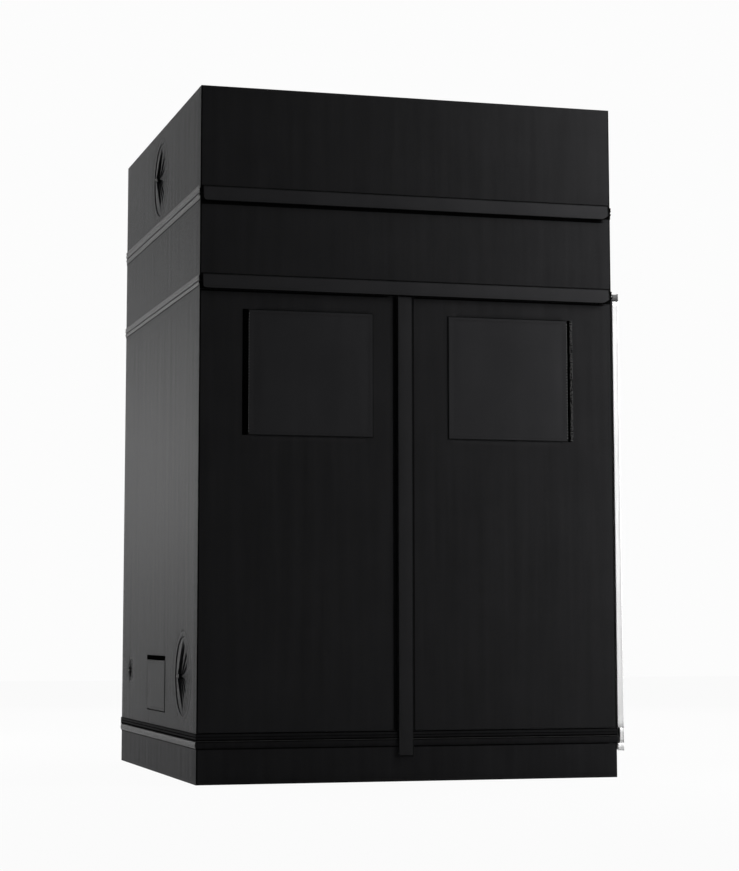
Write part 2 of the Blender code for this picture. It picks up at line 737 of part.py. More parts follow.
def door_leaf(side, sign, hinge_x, free_x):
    """A door leaf with its window hole and the hook strip beside the cover's free edge."""
    leaf = rectangle(*span(hinge_x, free_x), DOOR_BOTTOM, DOOR_TOP)
    hole = rectangle(*window_opening(sign, WINDOW_MARGIN), (WINDOW_CORNER,) * 4)
    door = slab(f"door_{side}", [leaf, hole], -CANVAS, 0, FRONT)
    cover_edge = COVER_FROM_MIDDLE + COVER_WIDTH
    strip_span = span(sign * (cover_edge + GAP), sign * (cover_edge + HOOK_STRIP))
    strip = rectangle(*strip_span, COVER_BOTTOM, COVER_TOP)
    raised = slab(f"door_{side}_hook_strip", [strip], -CANVAS / 2, HOOK_STRIP_PROUD, FRONT, CUTTERS)
    cut(door, raised, "UNION")
    axis = hinge_at(f"door_{side}_hinge", FRONT @ Vector((hinge_x, 0, 0)))
    hang(dress(door, "canvas"), axis)
    return axis


def window(side, sign, door_axis):
    """A clear pane sewn behind the window hole, and a cover hinged at its edge near the middle."""
    seam = rectangle(*window_opening(sign, WINDOW_MARGIN - PANE_SEAM))
    pane = slab(f"window_pane_{side}", [seam], -CANVAS - GAP - PANE, -CANVAS - GAP, FRONT)
    hang(dress(pane, "pane"), door_axis)
    round_left = (COVER_CORNER, 0, 0, COVER_CORNER)
    round_right = (0, COVER_CORNER, COVER_CORNER, 0)
    face = rectangle(*window_opening(sign, 0), round_left if sign < 0 else round_right)
    cover = slab(f"window_cover_{side}", [face], GAP, GAP + CANVAS, FRONT)
    place = FRONT @ Vector((sign * COVER_FROM_MIDDLE, 0, GAP + CANVAS))
    hang(dress(cover, "flap_canvas"), hinge_at(f"window_cover_{side}_hinge", place, door_axis))


def centre_flap(right_axis):
    """The flap over the centre zip, sewn to the right door along its right edge."""
    section = [
        (FLAP_SEAM_X, GAP),
        (FLAP_SEAM_X, FLAP_OUTER),
        (FLAP_SEAM_X - FLAP_SEAM, FLAP_OUTER),
        (FLAP_EDGE_X, FLAP_OUTER + FLAP_LEAN),
        (FLAP_EDGE_X, FLAP_INNER + FLAP_LEAN),
        (FLAP_SEAM_X - FLAP_SEAM - FLAP_INNER / 2, FLAP_INNER),
        (FLAP_SEAM_X - FLAP_SEAM, GAP),
    ]
    top = DOOR_TOP
    plan = FRONT @ Matrix(((1, 0, 0, 0), (0, 0, -1, 0), (0, 1, 0, 0), (0, 0, 0, 1)))
    flap = slab("centre_flap", [section], -top, -CENTRE_FLAP_BOTTOM, plan)
    front = rectangle(FLAP_EDGE_X, FLAP_SEAM_X, CENTRE_FLAP_BOTTOM, top, (FLAP_CORNER, 0, 0, 0))
    trim = slab("centre_flap_outline", [front], 0, FLAP_OUTER + FLAP_LEAN + OVERRUN, FRONT, CUTTERS)
    cut(flap, trim, "INTERSECT")
    relief = rectangle(FLAP_EDGE_X - OVERRUN, FLAP_SEAM_X + OVERRUN, 0, DOOR_BOTTOM)
    clear = slab("centre_flap_relief", [relief], 0, FLAP_INNER, FRONT, CUTTERS)
    cut(flap, clear, "DIFFERENCE")
    dress(flap, "flap_canvas")
    hang(flap, hinge_at("centre_flap_hinge", FRONT @ Vector((FLAP_SEAM_X, 0, FLAP_OUTER)), right_axis))


def box(name, left, right, bottom, top, low, high, frame, group=CUTTERS):
    return slab(name, [rectangle(left, right, bottom, top)], low, high, frame, group)


def zip_slider(right_axis, door_edge):
    """The centre zip's slider: two plates on a neck, with a slotted pull hanging from it."""
    x = door_edge + SLIDER_WIDTH / 2
    bottom = DOOR_BOTTOM + SLIDER_CLEARANCE + PULL_LENGTH
    top = bottom + SLIDER_LENGTH
    half = SLIDER_WIDTH / 2
    corner = SLIDER_WIDTH / 4
    plate = [rectangle(x - half, x + half, bottom, top, (0, 0, corner, corner))]
    back_plate = slab("zip_slider", plate, GAP, GAP + SLIDER_PLATE, FRONT)
    front_low = GAP + SLIDER_PLATE + SLIDER_THROAT
    front_high = front_low + SLIDER_PLATE
    front_plate = slab("slider_front_plate", plate, front_low, front_high, FRONT, CUTTERS)
    neck = SLIDER_NECK / 2
    middle = (SLIDER_PLATE / 2 + GAP, front_high - SLIDER_PLATE / 2)
    post = box("slider_neck", x - neck, x + neck, top - 2 * SLIDER_NECK, top - SLIDER_NECK, *middle, FRONT)
    pull_half, slot = PULL_WIDTH / 2, PULL_SLOT / 2
    pull_top = bottom + SLIDER_NECK
    pull_outline = [
        rectangle(x - pull_half, x + pull_half, pull_top - PULL_LENGTH, pull_top, (slot, slot, slot, slot)),
        rectangle(x - slot, x + slot, pull_top - PULL_LENGTH + PULL_WIDTH, bottom - PULL_SLOT),
    ]
    pull_low = front_high - SLIDER_PLATE / 2
    pull = slab("slider_pull", pull_outline, pull_low, pull_low + SLIDER_PLATE, FRONT, CUTTERS)
    for other in (post, front_plate, pull):
        cut(back_plate, other, "UNION")
    dress(back_plate, "slider")
    hang(back_plate, hinge_at("zip_slider_slide", FRONT @ Vector((x, bottom, GAP)), right_axis))


def front_doors():
    hinge = WIDTH / 2 - GAP
    left_edge = FLAP_EDGE_X - DOOR_CLEARANCE
    right_edge = left_edge + DOOR_MEETING_GAP
    left_axis = door_leaf("left", -1, -hinge, left_edge)
    right_axis = door_leaf("right", 1, hinge, right_edge)
    window("left", -1, left_axis)
    window("right", 1, right_axis)
    centre_flap(right_axis)
    zip_slider(right_axis, right_edge)


def side_door():
    """The right wall's door, hinged at the rear corner and left a little ajar at the front."""
    inner = 2 * GAP + HEM_PROUD
    hinge_u = DEPTH / 2 - SIDE_DOOR_INSET
    free_u = -hinge_u
    outline = rectangle(free_u, hinge_u, SIDE_DOOR_BOTTOM, SIDE_DOOR_TOP)
    door = slab("side_door", [outline], inner, inner + CANVAS, RIGHT)
    outer = inner + CANVAS
    middle = (inner + outer) / 2
    top_hem = box("side_door_top_hem", free_u, hinge_u - SIDE_DOOR_HEM, SIDE_DOOR_TOP - SIDE_DOOR_HEM,
                  SIDE_DOOR_TOP, middle, outer + SIDE_DOOR_HEM_PROUD, RIGHT)
    edge_hem = box("side_door_edge_hem", free_u, free_u + SIDE_DOOR_HEM, SIDE_DOOR_BOTTOM,
                   SIDE_DOOR_TOP, middle, outer + SIDE_DOOR_HEM_PROUD, RIGHT)
    dress(door, "side_canvas")
    axis = hinge_at("side_door_hinge", RIGHT @ Vector((hinge_u, 0, outer)))
    hang(door, axis)
    for hem in (top_hem, edge_hem):
        cut(door, hem, "UNION")
        hang(hem, axis)
    axis.rotation_euler.z = math.asin(SIDE_DOOR_AJAR / (hinge_u - free_u))


def main():
    clear_scene()
    corners()
    frame_tubes()
    hanging_bars()
    roof_and_floor()
    canvas_walls()
    spill_tray()
    perimeter_zips()
    ports()
    side_vent()
    storm_flaps()
    front_doors()
    side_door()


main()
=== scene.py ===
"""The looks of a square indoor grow tent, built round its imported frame.

Metres, +Z up. The front with its two doors faces -Y, and the wall with the
duct ports faces -X. Every cloth piece is laid out on one of the cabin's four
walls, by its place along the wall, its height and its distance out of it.
"""

from __future__ import annotations

import logging
import math
from collections.abc import Callable, Iterable, Sequence
from dataclasses import dataclass, field
from enum import Enum
from functools import cache
from typing import ClassVar

import bpy
import numpy as np
from mathutils import Matrix, Vector, noise

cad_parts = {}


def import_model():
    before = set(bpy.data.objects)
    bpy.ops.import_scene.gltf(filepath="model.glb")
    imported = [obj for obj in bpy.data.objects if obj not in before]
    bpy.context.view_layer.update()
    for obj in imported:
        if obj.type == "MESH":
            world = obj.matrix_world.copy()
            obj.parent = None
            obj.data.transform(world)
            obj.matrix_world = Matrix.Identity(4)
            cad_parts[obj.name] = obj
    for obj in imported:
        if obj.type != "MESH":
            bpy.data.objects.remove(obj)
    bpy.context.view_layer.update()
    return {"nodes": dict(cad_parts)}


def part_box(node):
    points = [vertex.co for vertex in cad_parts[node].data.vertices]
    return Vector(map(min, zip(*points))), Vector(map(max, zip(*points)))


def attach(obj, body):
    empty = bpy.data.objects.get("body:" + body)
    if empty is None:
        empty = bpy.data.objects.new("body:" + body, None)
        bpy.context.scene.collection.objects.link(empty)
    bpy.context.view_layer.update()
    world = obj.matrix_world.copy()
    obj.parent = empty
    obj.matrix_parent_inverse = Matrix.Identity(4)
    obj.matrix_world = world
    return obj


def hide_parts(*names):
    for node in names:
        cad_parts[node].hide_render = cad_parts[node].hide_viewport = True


log = logging.getLogger("grow_tent")

Place = tuple[float, float]
Ground = Callable[[float, float], float]

TENT = "tent"
UP = np.array((0.0, 0.0, 1.0))
CANVAS = 0.0015
"""How thick the canvas is."""
GAP = 0.0003
"""The room between two pieces that lie on each other."""
PITCH = 0.0032
"""From one tooth of a zip to the next."""
HEM_FADE = 0.004
"""How far a cover's thicker hem takes to sink to its plain cloth."""
SHARP = math.radians(50)
"""The angle from which an edge is drawn sharp."""
ABOVE_ALL = 9.0
"""A height that no piece reaches."""


@cache
def node_box(node: str) -> tuple[Vector, Vector]:
    """Returns a CAD node's lowest and highest corners."""
    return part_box(node)


def smooth(value: float) -> float:
    """Returns a soft step from 0 to 1."""
    value = min(1.0, max(0.0, value))
    return value * value * (3 - 2 * value)


def ripple(x: float, y: float, z: float) -> float:
    """Returns an even noise between -1 and 1 at a place."""
    return noise.noise(Vector((x, y, z)))


def reach_along(points: np.ndarray) -> np.ndarray:
    """Returns how far along a line each of its points is."""
    return np.concatenate([[0.0], np.cumsum(np.linalg.norm(np.diff(points, axis=0), axis=1))])


def lines(low: float, high: float, step: float, extra: Iterable[float] = ()) -> np.ndarray:
    """Lays grid lines between two places.

    Args:
        low: The first line.
        high: The last line.
        step: The widest spacing.
        extra: Places that also get a line, where they lie between the two.

    Returns:
        The places in order, with none closer than a fiftieth of a millimetre.
    """
    marks = sorted([low, high, *(mark for mark in extra if low < mark < high)])
    placed = [low]
    for start, stop in zip(marks, marks[1:]):
        count = max(1, math.ceil((stop - start) / step - 1e-9))
        placed += [start + (stop - start) * index / count for index in range(1, count + 1)]
    return np.array([low, *(mark for mark, before in zip(placed[1:], placed) if mark - before > 2e-5)])


class Wall(Enum):
    """The cabin's walls, as (the way along the wall, the way out of it)."""

    FRONT = ((1, 0, 0), (0, -1, 0))
    BACK = ((-1, 0, 0), (0, 1, 0))
    LEFT = ((0, -1, 0), (-1, 0, 0))
    RIGHT = ((0, 1, 0), (1, 0, 0))

    def axes(self) -> tuple[np.ndarray, np.ndarray]:
        """Returns the way along the wall and the way out of it."""
        return np.array(self.value[0], float), np.array(self.value[1], float)

    def distance(self) -> float:
        """Returns how far the wall's outer face stands from the cabin's middle."""
        return float(np.abs(np.array(node_box("roof_panel")[1]) @ self.axes()[1]))

    def is_wide(self) -> bool:
        """Returns whether the wall's cloth is bent round the cabin's corners."""
        return self in (Wall.FRONT, Wall.BACK)

    def place(self, along: np.ndarray, up: np.ndarray, out: np.ndarray) -> np.ndarray:
        """Turns places on the wall into places in space.

        Args:
            along: Places along the wall, from its middle.
            up: Heights above the ground.
            out: Distances out of the wall's outer face.

        Returns:
            An array with the last axis holding x, y and z.
        """
        side, outward = self.axes()
        flat = np.multiply.outer(np.asarray(along, float), side)
        flat = flat + np.multiply.outer(np.asarray(out, float) + self.distance(), outward)
        return flat + np.multiply.outer(np.asarray(up, float), UP)

    def span(self, node: str) -> "Span":
        """Measures a CAD node on this wall.

        Args:
            node: The node's name.

        Returns:
            The node's extent along the wall, up it and out of it.
        """
        side, outward = self.axes()
        low, high = (np.array(corner) for corner in node_box(node))
        along = sorted((float(low @ side), float(high @ side)))
        out = sorted((float(low @ outward), float(high @ outward)))
        base = self.distance()
        return Span(along[0], along[1], float(low[2]), float(high[2]), out[0] - base, out[1] - base)


@dataclass(frozen=True)
class Span:
    """How far a piece reaches on a wall."""

    left: float
    right: float
    bottom: float
    top: float
    inner: float = GAP
    outer: float = 0.0

    @property
    def width(self) -> float:
        """How far it reaches along the wall."""
        return self.right - self.left

    @property
    def height(self) -> float:
        """How far it reaches up the wall."""
        return self.top - self.bottom

    @property
    def middle(self) -> Place:
        """Its middle, along and up."""
        return (self.left + self.right) / 2, (self.bottom + self.top) / 2

    def grown(self, margin: float) -> "Span":
        """Returns this span, larger by a margin on its four edges."""
        return Span(
            self.left - margin, self.right + margin, self.bottom - margin, self.top + margin, self.inner, self.outer
        )

    def edge(self, along: float, up: float) -> float:
        """Returns how far inside the nearest edge a place lies."""
        return min(along - self.left, self.right - along, up - self.bottom, self.top - up)

    def shares(self, along: float, up: float) -> Place:
        """Returns how far a place lies from left to right and from bottom to top, each from 0 to 1."""
        shares = (along - self.left) / self.width, (up - self.bottom) / self.height
        return tuple(min(1.0, max(0.0, share)) for share in shares)

    def insets(self, distances: Iterable[float]) -> tuple[list[float], list[float]]:
        """Finds the grid lines at some distances inside the edges.

        Args:
            distances: The distances.

        Returns:
            The lines along the wall and the lines up it.
        """
        return (
            [end for far in distances for end in (self.left + far, self.right - far)],
            [end for far in distances for end in (self.bottom + far, self.top - far)],
        )


class Sketch:
    """A material's or the surround's node tree, with short ways to add nodes and join them."""

    def __init__(self, data: bpy.types.Material | bpy.types.World) -> None:
        """Starts on a new material or surround.

        Args:
            data: What the nodes belong to.
        """
        self.data = data
        data.use_nodes = True
        self.tree = data.node_tree

    def add(self, kind: str, sockets: dict | None = None, **settings: object) -> bpy.types.Node:
        """Adds a node.

        Args:
            kind: The node's type, without its ShaderNode prefix.
            sockets: What each input holds, or is linked to, by its name or number.
            settings: The node's own settings.

        Returns:
            The new node.
        """
        node = self.tree.nodes.new("ShaderNode" + kind)
        for key, value in settings.items():
            setattr(node, key, value)
        for key, value in (sockets or {}).items():
            self.join(value, node.inputs[key])
        return node

    def join(self, value: object, socket: bpy.types.NodeSocket) -> None:
        """Links an output to a socket, or sets the socket's own value.

        Args:
            value: The output, or the plain value.
            socket: The input that takes it.
        """
        if isinstance(value, bpy.types.NodeSocket):
            self.tree.links.new(value, socket)
        else:
            socket.default_value = value

    def math(self, operation: str, one: object, other: object = 0.0) -> bpy.types.NodeSocket:
        """Returns the outcome of a sum on one or two values."""
        return self.add("Math", {0: one, 1: other}, operation=operation).outputs[0]

    def attribute(self, name: str, output: str) -> bpy.types.NodeSocket:
        """Returns one of a mesh attribute's outputs."""
        return self.add("Attribute", attribute_name=name).outputs[output]

    def cloth_place(self, stretch: tuple[float, float, float] = (1.0, 1.0, 1.0)) -> bpy.types.NodeSocket:
        """Returns the place on the cloth, stretched along, up and in depth for a texture."""
        cloth = self.attribute("cloth", "Vector")
        return self.add("VectorMath", {0: cloth, 1: stretch}, operation="MULTIPLY").outputs[0]

    def cloth_axes(self, scale: float) -> tuple[bpy.types.NodeSocket, bpy.types.NodeSocket]:
        """Returns the place along the cloth and up it, both times a scale."""
        parts = self.add("SeparateXYZ", {0: self.cloth_place((scale, scale, 1.0))})
        return parts.outputs[0], parts.outputs[1]

    def noise(self, place: bpy.types.NodeSocket, scale: float, detail: float = 2.0) -> bpy.types.NodeSocket:
        """Returns a noise texture's value at a place."""
        return self.add("TexNoise", {"Vector": place, "Scale": scale, "Detail": detail}).outputs["Fac"]

    def between(self, factor: object, low: object, high: object) -> bpy.types.NodeSocket:
        """Mixes two colours.

        Args:
            factor: How far it is from the low one to the high one.
            low: Red, green and blue at 0, or an output.
            high: Red, green and blue at 1, or an output.

        Returns:
            The output that holds the colour.
        """
        node = self.add("Mix", data_type="RGBA")
        self.join(factor, node.inputs["Factor"])
        for number, colour in ((6, low), (7, high)):
            self.join(colour if isinstance(colour, bpy.types.NodeSocket) else (*colour, 1.0), node.inputs[number])
        return node.outputs[2]

    def ranged(
        self, value: object, low: float, high: float, out_low: float, out_high: float
    ) -> bpy.types.NodeSocket:
        """Returns a value carried from one range to another."""
        sockets = {"Value": value, "From Min": low, "From Max": high, "To Min": out_low, "To Max": out_high}
        return self.add("MapRange", sockets).outputs["Result"]

    def seen(self) -> bpy.types.NodeSocket:
        """Tells what is seen from what lights the scene.

        Returns:
            1 for what the camera, glass and gloss see, and 0 for other rays.
        """
        path = self.add("LightPath")
        either = path.outputs["Is Camera Ray"]
        for ray in ("Is Glossy Ray", "Is Transmission Ray"):
            either = self.math("MAXIMUM", either, path.outputs[ray])
        return either

    def settle(self, *relief: tuple[object, float], **values: object) -> bpy.types.Material:
        """Sets the Principled shader.

        Args:
            relief: Pairs of a height from 0 to 1 and its depth in metres.
            values: The shader's own sockets, named with _ for a space.

        Returns:
            The material.
        """
        shader = self.tree.nodes["Principled BSDF"]
        normal = None
        for height, depth in relief:
            node = self.add("Bump", {"Height": height, "Distance": depth, "Strength": 1.0})
            if normal:
                self.join(normal, node.inputs["Normal"])
            normal = node.outputs["Normal"]
        if normal:
            self.join(normal, shader.inputs["Normal"])
        for key, value in values.items():
            self.join(value, shader.inputs[key.replace("_", " ")])
        return self.data


@dataclass(frozen=True)
class Woven:
    """A woven cloth: a plain weave with streaks along its hang, mottling and sheen."""

    name: str
    dark: tuple[float, float, float] = (0.0187, 0.0187, 0.0196)
    light: tuple[float, float, float] = (0.0304, 0.0304, 0.0317)
    pitch: float = 0.0011
    depth: float = 0.00012
    streaks: float = 30.0
    streak_depth: float = 0.0008
    sheen: float = 0.25
    roughness: float = 0.5
    gloss: float = 0.011

    SHARES: ClassVar[dict[str, float]] = {"streak": 0.45, "mottle": 0.35, "threads": 0.2}
    SHADE_COLOUR: ClassVar[tuple[float, float, float]] = (0.001, 0.001, 0.001)
    FIBRE_DEPTH: ClassVar[float] = 0.00006
    SHEEN_ROUGHNESS: ClassVar[float] = 0.3

    def build(self) -> bpy.types.Material:
        """Makes the material.

        Returns:
            The material.
        """
        sketch = Sketch(bpy.data.materials.new(self.name))
        streak = sketch.noise(sketch.cloth_place((self.streaks, 1.6, 1.0)), 1.0, 4.0)
        mottle = sketch.noise(sketch.cloth_place(), 5.0, 4.0)
        fibre = sketch.noise(sketch.cloth_place(), 900.0, 1.0)
        waves = [sketch.math("SINE", axis) for axis in sketch.cloth_axes(2 * math.pi / self.pitch)]
        threads = sketch.ranged(sketch.math("MULTIPLY", *waves), -1.0, 1.0, 0.0, 1.0)
        parts = [
            sketch.math("MULTIPLY", part, share)
            for part, share in zip((streak, mottle, threads), self.SHARES.values())
        ]
        # The seam attribute holds painted shade: where it is set, the colour falls towards the near-black colour of
        # painted shade.
        seam = sketch.attribute("seam", "Fac")
        tone = sketch.math("SUBTRACT", sketch.math("ADD", sketch.math("ADD", parts[0], parts[1]), parts[2]), seam)
        sewn = sketch.between(sketch.ranged(tone, -0.4, 0.75, 0.0, 1.0), self.SHADE_COLOUR, self.light)
        plain = sketch.between(sketch.ranged(tone, 0.25, 0.75, 0.0, 1.0), self.dark, self.light)
        return sketch.settle(
            (threads, self.depth), (fibre, self.FIBRE_DEPTH), (streak, self.streak_depth),
            Base_Color=sketch.between(sketch.math("GREATER_THAN", seam, 0.001), plain, sewn),
            Roughness=sketch.ranged(streak, 0.3, 0.7, self.roughness - 0.015, self.roughness + 0.02),
            Specular_IOR_Level=self.gloss,
            Sheen_Weight=self.sheen,
            Sheen_Roughness=self.SHEEN_ROUGHNESS,
        )


@dataclass(frozen=True)
class Lining:
    """The bright inner face of the canvas, embossed with small diamonds."""

    name: str = "silver_lining"
    colour: tuple[float, float, float] = (0.78, 0.79, 0.81)
    diamond: float = 0.012
    crease_shade: float = 0.86

    def build(self) -> bpy.types.Material:
        """Makes the material.

        Returns:
            The material.
        """
        sketch = Sketch(bpy.data.materials.new(self.name))
        axes = sketch.cloth_axes(math.pi / self.diamond)
        waves = [sketch.math("SINE", sketch.math(way, *axes)) for way in ("ADD", "SUBTRACT")]
        ribs = sketch.math("MAXIMUM", *(sketch.math("ABSOLUTE", wave) for wave in waves))
        creases = sketch.noise(sketch.cloth_place((1.0, 0.35, 1.0)), 14.0, 5.0)
        return sketch.settle(
            (ribs, 0.0006), (creases, 0.002),
            Base_Color=sketch.between(creases, [self.crease_shade * value for value in self.colour], self.colour),
            Metallic=0.35,
            Roughness=sketch.ranged(creases, 0.3, 0.7, 0.38, 0.55),
        )


@dataclass(frozen=True)
class Moulded:
    """A hard finish, for enamel, nylon or cast metal, with a faint orange-peel relief."""

    name: str
    colour: tuple[float, float, float]
    roughness: float = 0.4
    metallic: float = 0.0
    peel: float = 0.00004
    coat: float = 0.0
    specular: float = 0.5
    wear_shade: float = 0.88

    def build(self) -> bpy.types.Material:
        """Makes the material.

        Returns:
            The material.
        """
        sketch = Sketch(bpy.data.materials.new(self.name))
        place = sketch.add("TexCoord").outputs["Object"]
        peel = sketch.noise(place, 420.0, 2.0)
        wear = sketch.noise(place, 9.0, 5.0)
        return sketch.settle(
            (peel, self.peel),
            Base_Color=sketch.between(wear, [self.wear_shade * value for value in self.colour], self.colour),
            Roughness=sketch.ranged(wear, 0.3, 0.7, self.roughness - 0.06, self.roughness + 0.08),
            Metallic=self.metallic,
            Coat_Weight=self.coat,
            Specular_IOR_Level=self.specular,
        )


@dataclass(frozen=True)
class Film:
    """Clear, faintly green vinyl with soft ripples."""

    name: str = "clear_film"
    colour: tuple[float, float, float] = (0.72, 0.86, 0.76)
    opacity: float = 0.32

    def build(self) -> bpy.types.Material:
        """Makes the material.

        Returns:
            The material.
        """
        sketch = Sketch(bpy.data.materials.new(self.name))
        place = sketch.add("TexCoord").outputs["Object"]
        haze = sketch.noise(place, 38.0, 4.0)
        return sketch.settle(
            (sketch.noise(place, 11.0, 2.0), 0.004),
            Base_Color=(*self.colour, 1.0),
            Roughness=sketch.ranged(haze, 0.3, 0.7, 0.04, 0.12),
            IOR=1.5,
            Alpha=self.opacity,
        )


def sewing_thread(name: str, dark: float, light: float) -> Woven:
    """Returns a smooth thread of a grey between two levels."""
    return Woven(name, (dark,) * 3, (light,) * 3, 0.0006, 0.0001, 9.0, 0.0001, 0.03, 0.55, 0.06)


class Stuff(Enum):
    """What the tent's pieces are made of."""

    CANVAS = Woven("black_canvas")
    FLAP = Woven("flap_cloth", (0.0297, 0.0297, 0.0313), (0.0428, 0.0428, 0.045), streaks=6.0, sheen=0.14)
    PLACKET = Woven("placket_cloth", (0.0235, 0.0235, 0.0246), (0.036, 0.036, 0.0377), streaks=6.0, sheen=0.16)
    # A darker, duller copy of the canvas: painted shade, for the skirt in the dimmer light near the floor and for
    # the zip bands' front faces.
    SKIRT = Woven("skirt_cloth", (0.0152, 0.0152, 0.016), (0.0275, 0.0275, 0.029), sheen=0.03, gloss=0.01)
    TAPE = Woven(
        "zip_tape", (0.0064, 0.0064, 0.0068), (0.013, 0.013, 0.0138), 0.0016, 0.0002, 3.0, 0.0001, 0.17, 0.6, 0.0
    )
    # Pale cord for the tuft at each port's mouth: partly the cord's own pale grey, partly a painted highlight.
    CORD = Woven("drawcord_and_highlight", (0.5,) * 3, (0.75,) * 3, 0.0014, 0.0003, 3.0, 0.0001, 0.1, 0.7, 0.1)
    PIPING = Woven("piping", streaks=9.0, streak_depth=0.0002, sheen=0.5, gloss=0.05)
    HOOK = Woven("hook_tape", (0.022,) * 3, (0.11,) * 3, 0.0019, 0.0003, 3.0, 0.0001, 0.0, 0.8, 0.0)
    PALE = sewing_thread("pale_thread", 0.13, 0.2)
    THREAD = sewing_thread("thread", 0.013, 0.03)
    MESH = Woven("mesh_yarn", (0.018,) * 3, (0.035,) * 3, 0.0007, 0.0001, 9.0, 0.0001, 0.03, 0.5, 0.1)
    COATED = Woven(
        "coated_cloth", (0.024, 0.024, 0.026), (0.04, 0.04, 0.042), 0.0011, 0.00008, 5.0, 0.0002, 0.1, 0.45, 0.05
    )
    LINING = Lining()
    WHITE = Lining("white_lining", (0.92, 0.92, 0.92))
    NYLON = Moulded("nylon_coil", (0.013, 0.013, 0.014), 0.4, specular=0.03)
    ENAMEL = Moulded("white_enamel", (0.83, 0.83, 0.82), 0.34, 0.0, 0.00005, 0.3)
    CASTING = Moulded("corner_casting", (0.75, 0.75, 0.75), 0.45, 0.25, 0.00012)
    GUNMETAL = Moulded("slider_metal", (0.06, 0.06, 0.065), 0.3, 0.85)
    FILM = Film()

    def material(self) -> bpy.types.Material:
        """Returns the finish's material, made the first time that it is asked for."""
        return bpy.data.materials.get(self.value.name) or self.value.build()


def put(
    name: str, points: np.ndarray, faces: Sequence, material: bpy.types.Material,
    cloth: np.ndarray | None = None, seam: np.ndarray | float = 0.0,
) -> bpy.types.Object:
    """Puts a mesh into the scene, smooth where its weave shows.

    Args:
        name: The piece's name.
        points: Its points, with x, y and z last.
        faces: Its faces, as numbers of points.
        material: What it is made of.
        cloth: Each point's place on the flat cloth, for a piece whose weave shows.
        seam: How dark each point is painted, as painted shade in seams, beneath flaps and zips and along edges.

    Returns:
        The new object.
    """
    mesh = bpy.data.meshes.new(name)
    mesh.from_pydata(points.reshape(-1, 3).tolist(), [], faces)
    if cloth is not None:
        flat = np.zeros((len(mesh.vertices), 3), np.float32)
        flat[:, :2] = cloth.reshape(-1, 2)
        mesh.attributes.new("cloth", "FLOAT_VECTOR", "POINT").data.foreach_set("vector", flat.ravel())
        # The seam attribute is painted shade, which the cloth's material turns into a darker colour.
        dark = np.full(len(flat), np.ravel(seam), np.float32)
        mesh.attributes.new("seam", "FLOAT", "POINT").data.foreach_set("value", dark)
        mesh.shade_smooth()
        mesh.set_sharp_from_angle(angle=SHARP)
    mesh.materials.append(material)
    piece = bpy.data.objects.new(name, mesh)
    bpy.context.scene.collection.objects.link(piece)
    return piece


def give(piece: bpy.types.Object, body: str, slot: str, *nodes: str) -> bpy.types.Object:
    """Says what a piece rides on and stands for.

    Args:
        piece: The piece.
        body: The body that it rides on.
        slot: Not used.
        nodes: The CAD nodes that it stands for.

    Returns:
        The piece.
    """
    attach(piece, body)
    if nodes:
        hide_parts(*nodes)
    return piece


def grid_piece(
    name: str,
    places: np.ndarray,
    cloth: np.ndarray,
    outside: Stuff,
    lining: Stuff | None = None,
    thickness: float = CANVAS,
    keep: np.ndarray | None = None,
    seam: np.ndarray | float = 0.0,
    wrap: tuple[bool, bool] = (False, False),
) -> bpy.types.Object:
    """Makes a piece from a grid of places.

    Args:
        name: The piece's name.
        places: The places, by row and column, with x, y and z last.
        cloth: The places on the flat cloth, by row and column.
        outside: What the outer face is made of.
        lining: What the inner face is made of, if that is something else.
        thickness: The cloth's thickness, or 0 for a closed skin.
        keep: Which of the grid's cells are cloth, by row and column.
        seam: How dark each place is painted as painted shade, by row and column.
        wrap: Whether the last row meets the first, and the last column the first.

    Returns:
        The new object.
    """
    rows, columns = places.shape[:2]
    row_count, column_count = rows - (not wrap[0]), columns - (not wrap[1])
    index = np.arange(rows * columns).reshape(rows, columns)
    after = np.roll(index, -1, 1)
    above, beyond = np.roll(index, -1, 0), np.roll(after, -1, 0)
    faces = np.stack([index, after, beyond, above], -1)[:row_count, :column_count]
    faces = faces[keep] if keep is not None else faces.reshape(-1, 4)
    used = np.unique(faces)
    fresh = np.full(rows * columns, -1)
    fresh[used] = np.arange(len(used))
    dark = np.full((rows, columns), seam).reshape(-1)[used]
    points, flat = places.reshape(-1, 3)[used], cloth.reshape(-1, 2)[used]
    piece = put(name, points, fresh[faces].tolist(), outside.material(), flat, dark)
    if thickness:
        shell = piece.modifiers.new("cloth_thickness", "SOLIDIFY")
        shell.thickness = thickness
        shell.offset = -1
        if lining:
            piece.data.materials.append(lining.material())
            shell.material_offset = 1
    return piece


@dataclass(frozen=True)
class Drape:
    """How stretched cloth departs from flat: streaks down its hang, and slack between its seams."""

    streak: float = 0.0006
    streak_width: float = 0.038
    streak_length: float = 0.9
    slack: float = 0.0011
    slack_width: float = 0.42
    border: float = 0.05
    seed: float = 0.0

    def out(self, along: float, up: float, edge: float) -> float:
        """Finds how far the cloth stands out of its wall.

        Args:
            along: The place along the wall.
            up: The height.
            edge: The distance to the nearest seam, where the cloth lies flat.

        Returns:
            The distance, never below 0.
        """
        streak = ripple(along / self.streak_width, up / self.streak_length, self.seed)
        slack = ripple(along / self.slack_width, up / self.slack_width, self.seed + 9.0)
        return smooth(edge / self.border) * (self.streak * (1 + streak) + self.slack * (0.5 + slack / 2))


